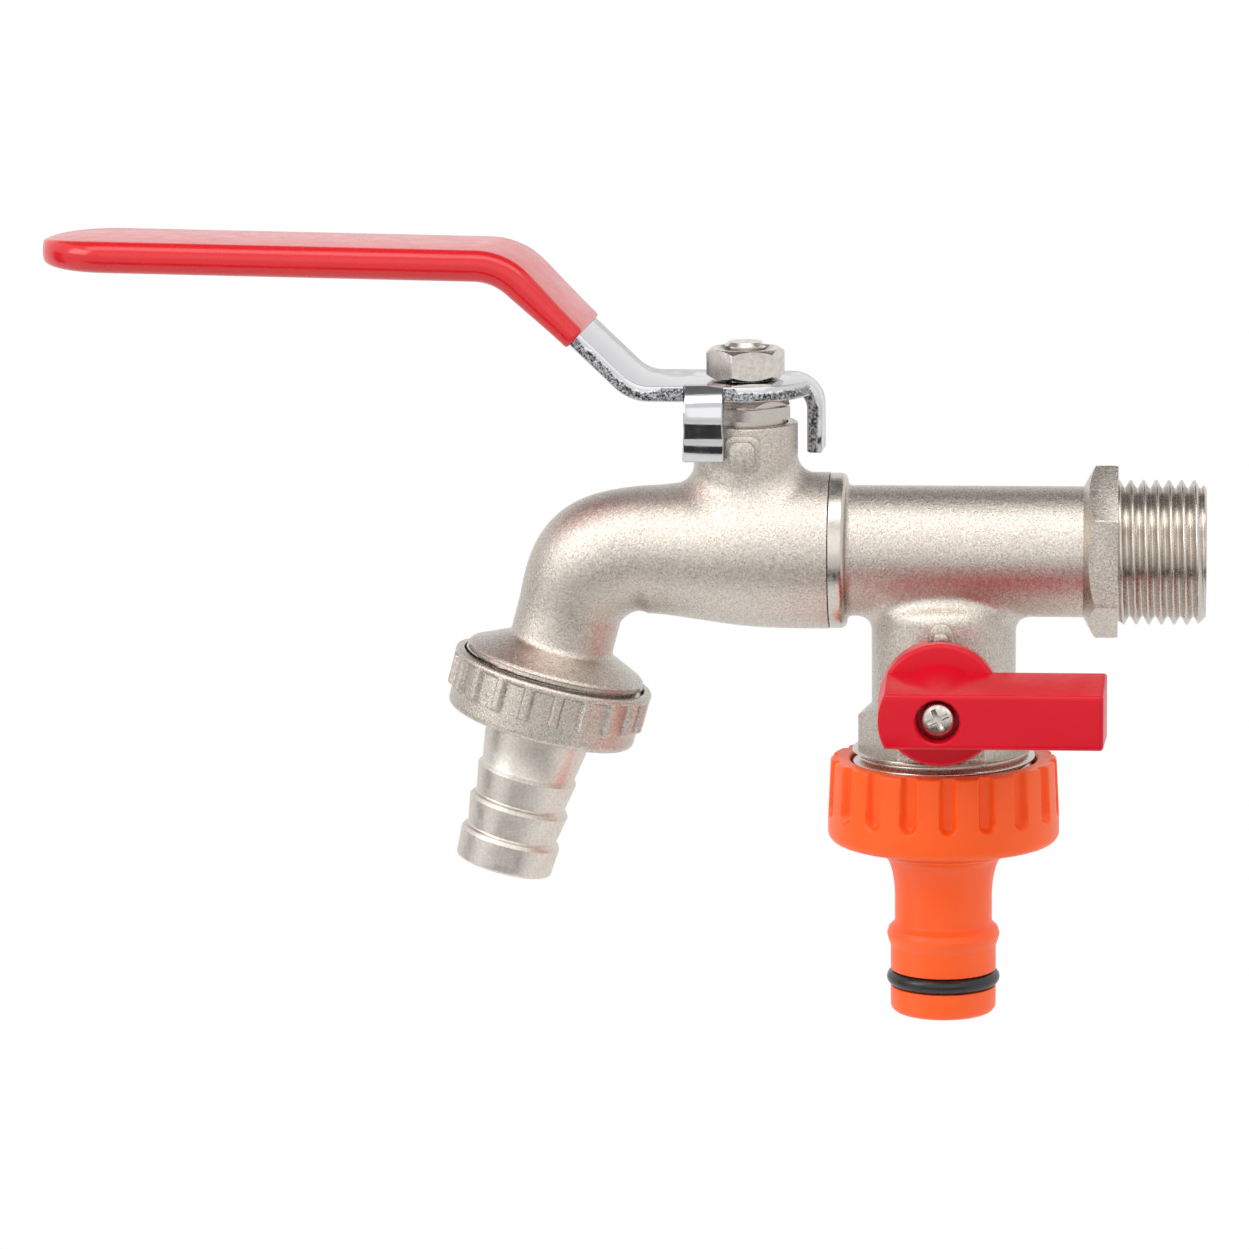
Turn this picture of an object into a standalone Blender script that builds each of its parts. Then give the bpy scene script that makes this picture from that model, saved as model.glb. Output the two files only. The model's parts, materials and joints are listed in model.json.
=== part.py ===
"""Double outlet garden tap, as an assembly of its real pieces.

Frame: the origin is on the inlet axis, at the face of the inlet hexagon that stops
against the wall. +X points along the inlet thread into the wall, the spout and the lever
reach to -X, +Z is up, and the small handle of the branch outlet faces -Y.
"""
import math

import bmesh
import bpy
from mathutils import Matrix, Vector

MM = 0.001
DEG = math.radians(1.0)

# Clearances and cutting
FACE_GAP = 0.22 * MM        # between faces that bear on each other
RUN_GAP = 0.25 * MM         # around whatever turns or screws inside another piece
OVERRUN = 1.0 * MM          # how far a cutter passes the surface it opens
SINK = 0.05 * MM            # how far a blended foot is buried in what it stands on
MERGE = 0.001 * MM          # distance at which doubled points are welded
EDGE_BREAK = 0.3 * MM       # taken off the edge of a turned face

# Fineness of round pieces
BODY_STEPS = 32
NUT_STEPS = 36
SMALL_STEPS = 20
RING_STEPS = 28
RING_SIDES = 8
BEND_STEPS = 6
FILLET_STEPS = 3
TIP_STEPS = 5
FLUTE_STEPS = 12
BEAD_STEPS = 8

# Threads, as plain barrels at their largest diameter
INLET_THREAD_D = 20.8 * MM
OUTLET_THREAD_D = 26.5 * MM
THREAD_DEPTH = 1.16 * MM

# Inlet body, along X from the wall face
INLET_THREAD_LENGTH = 12.6 * MM
INLET_BORE_D = 14.6 * MM
INLET_HEX_AF = 21.8 * MM
INLET_HEX_LENGTH = 4.95 * MM
INLET_HEX_LAND = 3.2 * MM
INLET_TUBE_D = 18.85 * MM
INLET_BODY_LENGTH = 41.3 * MM
COLLAR_WALL = 2.3 * MM
COLLAR_LENGTH = 2.5 * MM
COLLAR_ROUND = 0.9 * MM
COLLAR_FOOT = 0.45 * MM
SPIGOT_BORE_D = 10.6 * MM

# Main ball valve
STEM_FROM_JOINT = 12.2 * MM
BALL_D = 16.4 * MM
BALL_BORE_D = 10.0 * MM
BALL_SLOT_DEPTH = 1.9 * MM
BALL_SLOT_WIDTH = 2.7 * MM
SEAT_THICKNESS = 2.75 * MM
SEAT_INSET = 0.15 * MM
SEAT_OVERHANG = 0.45 * MM
STEM_D = 6.8 * MM
STEM_COLLAR_D = 8.8 * MM
STEM_COLLAR_HEIGHT = 1.45 * MM
STEM_TANG_LENGTH = 7.0 * MM
STEM_FLATS = 5.2 * MM
STEM_TOP_D = 5.9 * MM
STEM_END_Z = 30.35 * MM
THRUST_WASHER_HEIGHT = 0.65 * MM
BRIDGE_HEIGHT = 1.6 * MM
PACKING_HEIGHT = 2.5 * MM
GLAND_THREAD_D = 11.8 * MM
GLAND_HEX_AF = 12.0 * MM
GLAND_HEX_TURN = 10.7 * DEG
GLAND_HEX_HEIGHT = 2.85 * MM
GLAND_HEX_STAND = 0.75 * MM
GLAND_GROOVE_HEIGHT = 0.35 * MM
GLAND_GROOVE_DEPTH = 0.7 * MM
GLAND_GROOVE_SHARE = 0.58
GLAND_CHAMFER_SHARE = 0.18

# Spout body
BODY_WALL = 2.4 * MM
SPOUT_CORNER_REACH = 35.45 * MM
SPOUT_BEND_R = 9.5 * MM
OUTLET_TILT = 15.0 * DEG
SPOUT_BEND_D = 18.4 * MM
SPOUT_THROAT_D = 15.1 * MM
WATERWAY_D = 10.6 * MM
NECK_WALL = 1.6 * MM
NECK_TOP_Z = 18.75 * MM
NECK_FILLET_R = 2.3 * MM
LUG_WIDTH = 3.6 * MM
LUG_TOP_Z = 17.0 * MM
LUG_HEIGHT = 3.9 * MM
LUG_REACH = 1.9 * MM
LUG_PAD_MARGIN = 0.75 * MM
LUG_PAD_HEIGHT = 0.35 * MM
DOME_START = 14.3 * MM
DOME_END = 17.4 * MM
DOME_EDGE = 0.6 * MM
DOME_GROOVE = 0.5 * MM
DOME_GROOVE_DEPTH = 0.7 * MM
SPOUT_END = 21.2 * MM
# Radius of the cast body from the joint to the bend, as shares of the way and of the radii
BODY_TAPER_SHARES = (
    (0.0, 1.0), (0.18, 1.0), (0.31, 0.97), (0.43, 0.89), (0.56, 0.72), (0.66, 0.53),
    (0.77, 0.33), (0.88, 0.14), (1.0, 0.0),
)

# Union nut and hose tail, measured down the tilted outlet axis from the spout corner
UNION_TOP = 18.3 * MM
UNION_HEIGHT = 8.5 * MM
UNION_WALL = 0.55 * MM
UNION_RIDGE_RISE = 0.6 * MM
UNION_BAND_HEIGHT = 3.1 * MM
UNION_RIM_HEIGHT = 0.65 * MM
UNION_LIP = 1.7 * MM
UNION_RIDGES = 20
UNION_RIDGE_SHARE = 0.27
UNION_TURN = 9.6 * DEG
UNION_EDGE = 0.5 * MM
TAIL_FLANGE_INSET = 1.45 * MM
TAIL_FLANGE_HEIGHT = 1.8 * MM
TAIL_BORE_D = 10.4 * MM
TAIL_ROOT_D = 15.1 * MM
TAIL_BARB_D = 14.7 * MM
TAIL_WAIST_D = 13.3 * MM
TAIL_FIRST_BARB = 34.3 * MM
TAIL_BARB_STEP = 4.95 * MM
TAIL_BARBS = 3
TAIL_BARB_RISE = 0.7 * MM
TAIL_BARB_LEAD_SHARE = 0.25
TAIL_END = 48.4 * MM
TAIL_END_ROUND = 1.0 * MM
TAIL_WASHER_HEIGHT = 1.4 * MM
WASHER_INSET = 0.2 * MM

# Lever, in its own frame on the stem axis
LEVER_OPEN_TURN = -2.4 * DEG
PLATE_UNDERSIDE_Z = 22.75 * MM
STRIP_THICKNESS = 2.2 * MM
STRIP_WIDTH = 18.4 * MM
LEVER_RISE_X = 15.4 * MM
LEVER_RISE_ANGLE = 43.5 * DEG
LEVER_LIFT = 18.05 * MM
GRIP_SLOPE = 0.9 * DEG
LEVER_REACH = 102.3 * MM
LEVER_FOOT_BEND_R = 6.0 * MM
LEVER_TOP_BEND_R = 14.0 * MM
SLEEVE_START = 11.0 * MM
SLEEVE_WIDTH = 20.6 * MM
SLEEVE_THICKNESS = 4.6 * MM
SLEEVE_MOUTH_THICKNESS = 3.5 * MM
SLEEVE_SWELL_LENGTH = 14.0 * MM
SLEEVE_FIT = 0.2 * MM
SLEEVE_TIP_WALL = 1.1 * MM
SLEEVE_CORNER_SHARE = 0.45
SLEEVE_TIP_CORNER_SHARE = 0.25
SLEEVE_TIP_THICKNESS_SHARE = 0.55
TAB_BEND_R = 2.4 * MM
FRONT_TAB_INNER = 2.3 * MM
FRONT_TAB_WIDTH = 5.6 * MM
FRONT_TAB_FACE = 10.5 * MM
FRONT_TAB_END_Z = 14.2 * MM
FRONT_TAB_KICK = 0.5 * MM
REAR_TAB_FACE = 10.8 * MM
REAR_TAB_START = 2.4 * MM
REAR_TAB_WIDTH = 5.8 * MM
REAR_TAB_END_Z = 13.9 * MM
LEVER_NUT_AF = 10.0 * MM
LEVER_NUT_HEIGHT = 4.3 * MM
LEVER_NUT_TURN = -15.0 * DEG
HEX_CHAMFER_SHARE = 0.09

# Branch outlet, hanging from the inlet tube
BRANCH_X = 25.0 * MM
BRANCH_D = 20.8 * MM
BRANCH_FILLET_R = 2.2 * MM
BRANCH_SHOULDER_SHARE = 0.88
BRANCH_STEM_Z = 19.55 * MM
BRANCH_HEX_AF = 21.5 * MM
BRANCH_HEX_TOP_Z = 22.3 * MM
BRANCH_HEX_CHAMFER = 1.9 * MM
BRANCH_COLLAR_Z = 28.7 * MM
BRANCH_END_Z = 37.0 * MM
BRANCH_PASSAGE_D = 8.0 * MM
BRANCH_BALL_D = 13.6 * MM
BRANCH_BALL_BORE_D = 8.0 * MM
BRANCH_SLOT_DEPTH = 1.45 * MM
BRANCH_SLOT_WIDTH = 2.2 * MM
BRANCH_SEAT_THICKNESS = 2.3 * MM
BRANCH_SEAT_INSET = 0.2 * MM
BRANCH_SEAT_OVERHANG = 0.9 * MM
RETAINER_HEIGHT = 4.5 * MM
RETAINER_BORE_D = 9.0 * MM
RETAINER_SLOT_WIDTH = 2.0 * MM
RETAINER_SLOT_DEPTH = 1.6 * MM
BRANCH_STEM_D = 5.0 * MM
BRANCH_STEM_COLLAR_D = 7.2 * MM
BRANCH_STEM_COLLAR_HEIGHT = 1.1 * MM
BRANCH_STEM_TANG_LENGTH = 5.6 * MM
BRANCH_STEM_FLATS = 3.8 * MM
BRANCH_STEM_LENGTH = 21.8 * MM
BRANCH_BOSS_D = 12.4 * MM
BRANCH_BOSS_FACE = 11.2 * MM
STEM_RING_WIRE = 1.0 * MM
STEM_RING_D = 5.2 * MM
STEM_RING_Y = 9.8 * MM

# Branch handle, in its own frame with +Z pointing at the user
HANDLE_BACK = 11.5 * MM
HANDLE_DISC_D = 17.7 * MM
HANDLE_DISC_THICKNESS = 5.0 * MM
HANDLE_BAR_FACE = 28.7 * MM
HANDLE_BAR_HEIGHT = 7.8 * MM
HANDLE_BAR_DRAFT = 0.85 * MM
HANDLE_BAR_REACH = 23.2 * MM
HANDLE_END_DRAFT = 0.45 * MM
HANDLE_BOSS_D = 10.2 * MM
HANDLE_RECESS_D = 6.2 * MM
HANDLE_RECESS_FLOOR = 24.3 * MM
HANDLE_SOCKET_END = 22.1 * MM
HANDLE_POCKET_WALL = 1.4 * MM
HANDLE_CHANNEL_DEPTH = 2.5 * MM
HANDLE_CHANNEL_R = 7.1 * MM
HANDLE_SWING = 90.0 * DEG
STOP_WIDTH = 3.4 * MM
STOP_TOP = 10.85 * MM
STOP_NIB_WIDTH = 2.0 * MM
STOP_NIB_TOP = 9.8 * MM
STOP_NIB_FOOT = 7.5 * MM
STOP_NIB_REACH = 1.8 * MM
HANDLE_SCREW_HEAD_D = 4.0 * MM
HANDLE_SCREW_HEAD_HEIGHT = 1.6 * MM
HANDLE_SCREW_D = 2.4 * MM
HANDLE_SCREW_LENGTH = 7.0 * MM

# Adaptor nut and nozzle, measured down from the inlet axis
ADAPTOR_TOP = 30.3 * MM
ADAPTOR_HEIGHT = 12.1 * MM
ADAPTOR_WALL = 3.25 * MM
ADAPTOR_EDGE = 0.9 * MM
ADAPTOR_LIP = 1.6 * MM
ADAPTOR_FLUTES = 18
ADAPTOR_FLUTE_WIDTH = 2.5 * MM
ADAPTOR_FLUTE_DEPTH = 0.75 * MM
ADAPTOR_FLUTE_LENGTH = 7.9 * MM
ADAPTOR_TURN = 4.0 * DEG
NOZZLE_BORE_D = 9.2 * MM
NOZZLE_FLANGE_INSET = 0.95 * MM
NOZZLE_FLANGE_HEIGHT = 1.5 * MM
NOZZLE_SHOULDER_D = 19.4 * MM
NOZZLE_SHOULDER_Z = 46.4 * MM
NOZZLE_NECK_D = 14.1 * MM
NOZZLE_NECK_Z = 50.4 * MM
NOZZLE_BEAD_D = 16.4 * MM
NOZZLE_BEAD_Z = 56.3 * MM
NOZZLE_BEAD_HEIGHT = 3.4 * MM
NOZZLE_BARREL_D = 15.3 * MM
NOZZLE_END_Z = 67.9 * MM
NOZZLE_END_ROUND = 1.3 * MM
O_RING_WIRE = 2.2 * MM
O_RING_D = 16.4 * MM
O_RING_Z = 62.8 * MM
ADAPTOR_WASHER_HEIGHT = 1.6 * MM

# Places worked out from the sizes above
JOINT_X = -INLET_BODY_LENGTH
STEM_X = JOINT_X - STEM_FROM_JOINT
CORNER_X = JOINT_X - SPOUT_CORNER_REACH
SEAT_D = BALL_D + 2 * SEAT_OVERHANG
SEAT_BACK = BALL_D / 2 - SEAT_INSET
BALL_CAVITY_D = SEAT_D + 2 * RUN_GAP
COLLAR_D = BALL_CAVITY_D + 2 * COLLAR_WALL
BODY_D = COLLAR_D + FACE_GAP
NECK_D = GLAND_THREAD_D + 2 * NECK_WALL
SPIGOT_END_X = STEM_X + SEAT_BACK + FACE_GAP
BEND_TANGENT = SPOUT_BEND_R * math.tan((math.pi / 2 - OUTLET_TILT) / 2)
STEM_COLLAR_Z = BALL_D / 2 + RUN_GAP
THRUST_Z = STEM_COLLAR_Z + STEM_COLLAR_HEIGHT + FACE_GAP
BRIDGE_Z = THRUST_Z + THRUST_WASHER_HEIGHT + FACE_GAP
PACKING_FLOOR_Z = BRIDGE_Z + BRIDGE_HEIGHT
GLAND_FOOT_Z = PACKING_FLOOR_Z + PACKING_HEIGHT + 2 * FACE_GAP
GLAND_HEX_Z = NECK_TOP_Z + GLAND_HEX_STAND
PLATE_TOP_Z = PLATE_UNDERSIDE_Z + STRIP_THICKNESS
HANDLE_DISC_FACE = HANDLE_BACK + HANDLE_DISC_THICKNESS
BRANCH_SEAT_D = BRANCH_BALL_D + 2 * BRANCH_SEAT_OVERHANG
BRANCH_SEAT_BACK = BRANCH_BALL_D / 2 - BRANCH_SEAT_INSET
BRANCH_CAVITY_D = BRANCH_SEAT_D + 2 * RUN_GAP
NUT_HOLLOW_D = OUTLET_THREAD_D + 2 * RUN_GAP
UNION_BAND_D = NUT_HOLLOW_D + 2 * UNION_WALL
UNION_D = UNION_BAND_D + 2 * UNION_RIDGE_RISE
UNION_LIP_Z = -(UNION_TOP + UNION_HEIGHT - UNION_LIP)
TAIL_FLANGE_D = OUTLET_THREAD_D - 2 * TAIL_FLANGE_INSET
ADAPTOR_D = NUT_HOLLOW_D + 2 * ADAPTOR_WALL
ADAPTOR_LIP_Z = -(ADAPTOR_TOP + ADAPTOR_HEIGHT - ADAPTOR_LIP)
NOZZLE_FLANGE_D = OUTLET_THREAD_D - 2 * NOZZLE_FLANGE_INSET
LEVER_TALL = PLATE_TOP_Z + LEVER_LIFT + STRIP_WIDTH
SLEEVE_MOUTH_STATION = STRIP_WIDTH + LEVER_RISE_X + SLEEVE_START


# Scene, collections and materials

def clear_scene():
    for found in list(bpy.data.objects):
        bpy.data.objects.remove(found)


def new_collection(name):
    made = bpy.data.collections.new(name)
    bpy.context.scene.collection.children.link(made)
    return made


def paint(name, colour, metallic, roughness):
    made = bpy.data.materials.new(name)
    made.use_nodes = True
    shader = made.node_tree.nodes["Principled BSDF"]
    shader.inputs["Base Color"].default_value = (*colour, 1.0)
    shader.inputs["Metallic"].default_value = metallic
    shader.inputs["Roughness"].default_value = roughness
    return made


clear_scene()
PARTS = new_collection("double_outlet_garden_tap")
CUTTERS = new_collection("cutters")

NICKEL = ((0.62, 0.58, 0.53), 1.0, 0.38)
BRIGHT_STEEL = ((0.72, 0.72, 0.73), 1.0, 0.18)
BRASS = ((0.72, 0.58, 0.33), 1.0, 0.3)
SEAL_WHITE = ((0.86, 0.86, 0.84), 0.0, 0.45)
BLACK_RUBBER = ((0.02, 0.02, 0.022), 0.0, 0.4)
SLEEVE_RED = ((0.78, 0.03, 0.04), 0.0, 0.25)
HANDLE_RED = ((0.65, 0.01, 0.05), 0.0, 0.3)
ORANGE = ((0.95, 0.22, 0.02), 0.0, 0.4)


def new_axis(name, place, turn=(0.0, 0.0, 0.0)):
    """An empty on a joint's axis, which carries the pieces that move about it."""
    axis = bpy.data.objects.new(name, None)
    axis.location = place
    axis.rotation_euler = turn
    PARTS.objects.link(axis)
    return axis


def add(name, mesh, frame=None, offset=None):
    made = bpy.data.objects.new(name, mesh)
    CUTTERS.objects.link(made)
    made.hide_render = True
    made.display_type = 'WIRE'
    if frame is not None:
        made.parent = frame
    if offset is not None:
        made.matrix_local = offset
    return made


def finish(piece, look):
    """Turn a working shape into one of the tap's pieces."""
    CUTTERS.objects.unlink(piece)
    PARTS.objects.link(piece)
    piece.hide_render = False
    piece.display_type = 'TEXTURED'
    colour, metallic, roughness = look
    piece.data.materials.clear()
    piece.data.materials.append(paint(piece.name, colour, metallic, roughness))
    piece.data.shade_smooth()
    piece.data.set_sharp_from_angle(angle=30 * DEG)
    return piece


# Shapes

def turned(name, profile, steps, frame=None, offset=None, closed=False):
    """Turn (radius, height) points about local Z. They run down the outer side."""
    mesh = bpy.data.meshes.new(name)
    count = len(profile)
    edges = [(i, i + 1) for i in range(count - 1)]
    if closed:
        edges.append((count - 1, 0))
    mesh.from_pydata([(r, 0.0, z) for r, z in profile], edges, [])
    made = add(name, mesh, frame, offset)
    screw = made.modifiers.new("turn", 'SCREW')
    screw.steps = steps
    screw.render_steps = steps
    screw.use_merge_vertices = True
    screw.merge_threshold = MERGE
    screw.use_smooth_shade = True
    return made


def made_mesh(source):
    """Replace a curve object by the welded mesh of its evaluated form."""
    bpy.context.view_layer.update()
    graph = bpy.context.evaluated_depsgraph_get()
    mesh = bpy.data.meshes.new_from_object(source.evaluated_get(graph))
    work = bmesh.new()
    work.from_mesh(mesh)
    bmesh.ops.remove_doubles(work, verts=work.verts, dist=MERGE)
    bmesh.ops.recalc_face_normals(work, faces=work.faces)
    work.to_mesh(mesh)
    work.free()
    name, parent, place = source.name, source.parent, source.matrix_local.copy()
    bpy.data.objects.remove(source)
    made = add(name, mesh, parent)
    made.name = name
    made.matrix_local = place
    return made


def slab(name, outline, thickness, frame=None, offset=None):
    """A flat outline in local XY, with its thickness centred on local Z = 0."""
    curve = bpy.data.curves.new(name, 'CURVE')
    curve.dimensions = '2D'
    curve.fill_mode = 'BOTH'
    curve.extrude = thickness / 2
    spline = curve.splines.new('POLY')
    spline.points.add(len(outline) - 1)
    for point, (x, y) in zip(spline.points, outline):
        point.co = (x, y, 0.0, 1.0)
    spline.use_cyclic_u = True
    return made_mesh(add(name, curve, frame, offset))


def swept(name, path, radii, sides, frame=None):
    """A round bar along a path, with its own radius at each point."""
    curve = bpy.data.curves.new(name, 'CURVE')
    curve.dimensions = '3D'
    curve.bevel_depth = max(radii)
    curve.bevel_resolution = sides // 2 - 2
    curve.use_fill_caps = True
    spline = curve.splines.new('POLY')
    spline.points.add(len(path) - 1)
    for point, place, radius in zip(spline.points, path, radii):
        point.co = (*place, 1.0)
        point.radius = radius / curve.bevel_depth
    return made_mesh(add(name, curve, frame))


def loft(name, rings, frame=None, offset=None):
    """Skin rings of equally many points, and close both ends."""
    work = bmesh.new()
    rows = [[work.verts.new(p) for p in ring] for ring in rings]
    count = len(rows[0])
    for low, high in zip(rows, rows[1:]):
        for i in range(count):
            j = (i + 1) % count
            work.faces.new((low[i], low[j], high[j], high[i]))
    work.faces.new(rows[0])
    work.faces.new(rows[-1])
    bmesh.ops.recalc_face_normals(work, faces=work.faces)
    mesh = bpy.data.meshes.new(name)
    work.to_mesh(mesh)
    work.free()
    return add(name, mesh, frame, offset)


def box(name, low, high, frame=None, offset=None):
    work = bmesh.new()
    bmesh.ops.create_cube(work, size=1.0)
    size = Vector(high) - Vector(low)
    middle = (Vector(high) + Vector(low)) / 2
    place = Matrix.Translation(middle) @ Matrix.Diagonal((*size, 1.0))
    bmesh.ops.transform(work, matrix=place, verts=work.verts)
    mesh = bpy.data.meshes.new(name)
    work.to_mesh(mesh)
    work.free()
    return add(name, mesh, frame, offset)


def hexagon(name, across_flats, low, high, turn, frame=None, offset=None):
    """A hexagonal bar on local Z with one corner turned from local -Y."""
    work = bmesh.new()
    radius = across_flats / math.sqrt(3)
    place = Matrix.Translation((0.0, 0.0, (low + high) / 2))
    place = place @ Matrix.Rotation(turn - math.pi / 2, 4, 'Z')
    bmesh.ops.create_cone(work, cap_ends=True, segments=6, radius1=radius, radius2=radius, depth=high - low)
    first = max(work.verts, key=lambda v: round(v.co.x, 9))
    aim = Matrix.Rotation(-math.atan2(first.co.y, first.co.x), 4, 'Z')
    bmesh.ops.transform(work, matrix=place @ aim, verts=work.verts)
    mesh = bpy.data.meshes.new(name)
    work.to_mesh(mesh)
    work.free()
    return add(name, mesh, frame, offset)


def ball(name, diameter, frame=None):
    work = bmesh.new()
    bmesh.ops.create_uvsphere(work, u_segments=SMALL_STEPS, v_segments=FLUTE_STEPS, radius=diameter / 2)
    mesh = bpy.data.meshes.new(name)
    work.to_mesh(mesh)
    work.free()
    return add(name, mesh, frame)


def combine(piece, tool, operation):
    step = piece.modifiers.new(tool.name, 'BOOLEAN')
    step.operation = operation
    step.object = tool
    step.solver = 'EXACT'


def join(piece, *tools):
    for tool in tools:
        combine(piece, tool, 'UNION')


def cut(piece, *tools):
    for tool in tools:
        combine(piece, tool, 'DIFFERENCE')


def keep(piece, *tools):
    for tool in tools:
        combine(piece, tool, 'INTERSECT')


def arc(centre, radius, start, end, steps):
    """Points on an arc of a circle, both ends included."""
    cx, cy = centre
    angles = [start + (end - start) * i / steps for i in range(steps + 1)]
    return [(cx + radius * math.cos(a), cy + radius * math.sin(a)) for a in angles]


def shares_of(table, low, high, share):
    """Read a table of (share of the way, share of the change) pairs between its points."""
    for (a, va), (b, vb) in zip(table, table[1:]):
        if share <= b:
            value = va + (vb - va) * (share - a) / (b - a)
            return low + (high - low) * value
    return low + (high - low) * table[-1][1]


def ring_seal(name, wire, diameter, height, look, frame):
    """An O-ring of the given outer diameter, round local Z."""
    centre = (diameter / 2 - wire / 2, height)
    section = arc(centre, wire / 2, math.pi / 2, -1.5 * math.pi, RING_SIDES)[:-1]
    return finish(turned(name, section, RING_STEPS, frame, closed=True), look)


def ring(name, outer_d, inner_d, low, high, look, frame, steps=SMALL_STEPS, offset=None):
    """A flat ring with a square section, round local Z."""
    section = [(inner_d / 2, high), (outer_d / 2, high), (outer_d / 2, low), (inner_d / 2, low)]
    return finish(turned(name, section, steps, frame, offset, closed=True), look)


def hex_corner_cone(name, across_flats, low, high, chamfer_low, chamfer_high, frame=None, offset=None):
    """The turned blank that takes the sharp corners off a hexagon's ends."""
    flat = across_flats / 2
    corner = across_flats / math.sqrt(3)
    wide = corner + OVERRUN
    stretch = (wide - flat) / (corner - flat)
    profile = [(0.0, high)]
    if chamfer_high > 0:
        profile.append((flat, high))
    profile += [(wide, high - chamfer_high * stretch), (wide, low + chamfer_low * stretch)]
    if chamfer_low > 0:
        profile.append((flat, low))
    profile.append((0.0, low))
    return turned(name, profile, BODY_STEPS, frame, offset)


ALONG_X = Matrix.Rotation(math.pi / 2, 4, 'Y')


# Radius of the cast spout body, and its centreline

def body_radius(x):
    share = (JOINT_X - x) / (JOINT_X - CORNER_X - BEND_TANGENT)
    return shares_of(BODY_TAPER_SHARES, SPOUT_BEND_D / 2, BODY_D / 2, min(max(share, 0.0), 1.0))


def spout_centreline(start_x, radius_at_start, end_radius):
    """Points and radii from start_x round the bend and down to the dome."""
    points = []
    radii = []
    bend_x = CORNER_X + BEND_TANGENT
    count = 2 * BEND_STEPS
    for i in range(count):
        x = start_x + (bend_x - start_x) * i / count
        points.append((x, 0.0, 0.0))
        radii.append(radius_at_start(x))
    swing = math.pi / 2 - OUTLET_TILT
    bend_radius = radius_at_start(bend_x)
    for i in range(BEND_STEPS + 1):
        angle = swing * i / BEND_STEPS
        drop = SPOUT_BEND_R * (1 - math.cos(angle))
        points.append((bend_x - SPOUT_BEND_R * math.sin(angle), 0.0, -drop))
        radii.append(bend_radius + (end_radius - bend_radius) * i / BEND_STEPS)
    down = Vector((-math.sin(OUTLET_TILT), 0.0, -math.cos(OUTLET_TILT)))
    points.append(Vector((CORNER_X, 0.0, 0.0)) + down * (DOME_START + DOME_END) / 2)
    radii.append(end_radius)
    return points, radii


# Inlet body: wall thread, hexagon, tube, collar, spigot and the branch outlet

def inlet_barrel():
    thread_r = INLET_THREAD_D / 2
    tube_r = INLET_TUBE_D / 2
    collar_r = COLLAR_D / 2
    collar_x = JOINT_X + COLLAR_LENGTH
    spigot_r = BALL_CAVITY_D / 2 - RUN_GAP
    profile = [
        (0.0, INLET_THREAD_LENGTH),
        (thread_r - THREAD_DEPTH, INLET_THREAD_LENGTH),
        (thread_r, INLET_THREAD_LENGTH - THREAD_DEPTH),
        (thread_r, -INLET_HEX_LAND / 2),
        (tube_r, -INLET_HEX_LAND / 2),
        (tube_r, collar_x + COLLAR_FOOT),
        (tube_r + COLLAR_FOOT, collar_x),
    ]
    shoulder = (collar_r - COLLAR_ROUND, collar_x - COLLAR_ROUND)
    profile += arc(shoulder, COLLAR_ROUND, math.pi / 2, 0.0, FILLET_STEPS)
    profile += [
        (collar_r, JOINT_X + FACE_GAP / 2),
        (spigot_r, JOINT_X + FACE_GAP / 2),
        (spigot_r, SPIGOT_END_X),
        (0.0, SPIGOT_END_X),
    ]
    return turned("inlet_body", profile, BODY_STEPS, offset=ALONG_X)


def inlet_hexagon():
    made = hexagon("inlet_hex_bar", INLET_HEX_AF, -INLET_HEX_LENGTH, 0.0, math.pi / 2, offset=ALONG_X)
    corner = INLET_HEX_AF / math.sqrt(3)
    foot = INLET_TUBE_D / 2 - SINK
    slope = (INLET_HEX_LENGTH - INLET_HEX_LAND) / (corner - foot)
    blank = turned("inlet_hex_blank", [
        (0.0, OVERRUN),
        (corner + OVERRUN, OVERRUN),
        (corner + OVERRUN, -INLET_HEX_LAND + slope * OVERRUN),
        (foot, -INLET_HEX_LENGTH),
        (0.0, -INLET_HEX_LENGTH - OVERRUN),
    ], BODY_STEPS, offset=ALONG_X)
    keep(made, blank)
    return made


def branch_foot():
    """The branch tube with its cast blend into the inlet tube above it."""
    radius = BRANCH_D / 2
    tube_r = INLET_TUBE_D / 2
    limit = tube_r * BRANCH_SHOULDER_SHARE
    angles = [2 * math.pi * (i + 0.5) / BODY_STEPS for i in range(BODY_STEPS)]
    rings = [[(limit * math.cos(a), limit * math.sin(a), -limit / 2) for a in angles]]
    for i in range(FILLET_STEPS + 1):
        lean = math.pi / 2 * i / FILLET_STEPS
        ring_points = []
        for a in angles:
            fillet = BRANCH_FILLET_R * math.cos(a) ** 2 + SINK
            r = radius + fillet * (1 - math.sin(lean))
            y = min(abs(r * math.sin(a)), limit)
            drop = math.sqrt(tube_r ** 2 - y ** 2) - SINK
            z = -drop - fillet * (1 - math.cos(lean))
            ring_points.append((r * math.cos(a), r * math.sin(a), z))
        rings.append(ring_points)
    base = -(BRANCH_HEX_TOP_Z + BRANCH_HEX_CHAMFER)
    rings.append([(radius * math.cos(a), radius * math.sin(a), base) for a in angles])
    return loft("branch_foot", rings, offset=Matrix.Translation((-BRANCH_X, 0.0, 0.0)))


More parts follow.
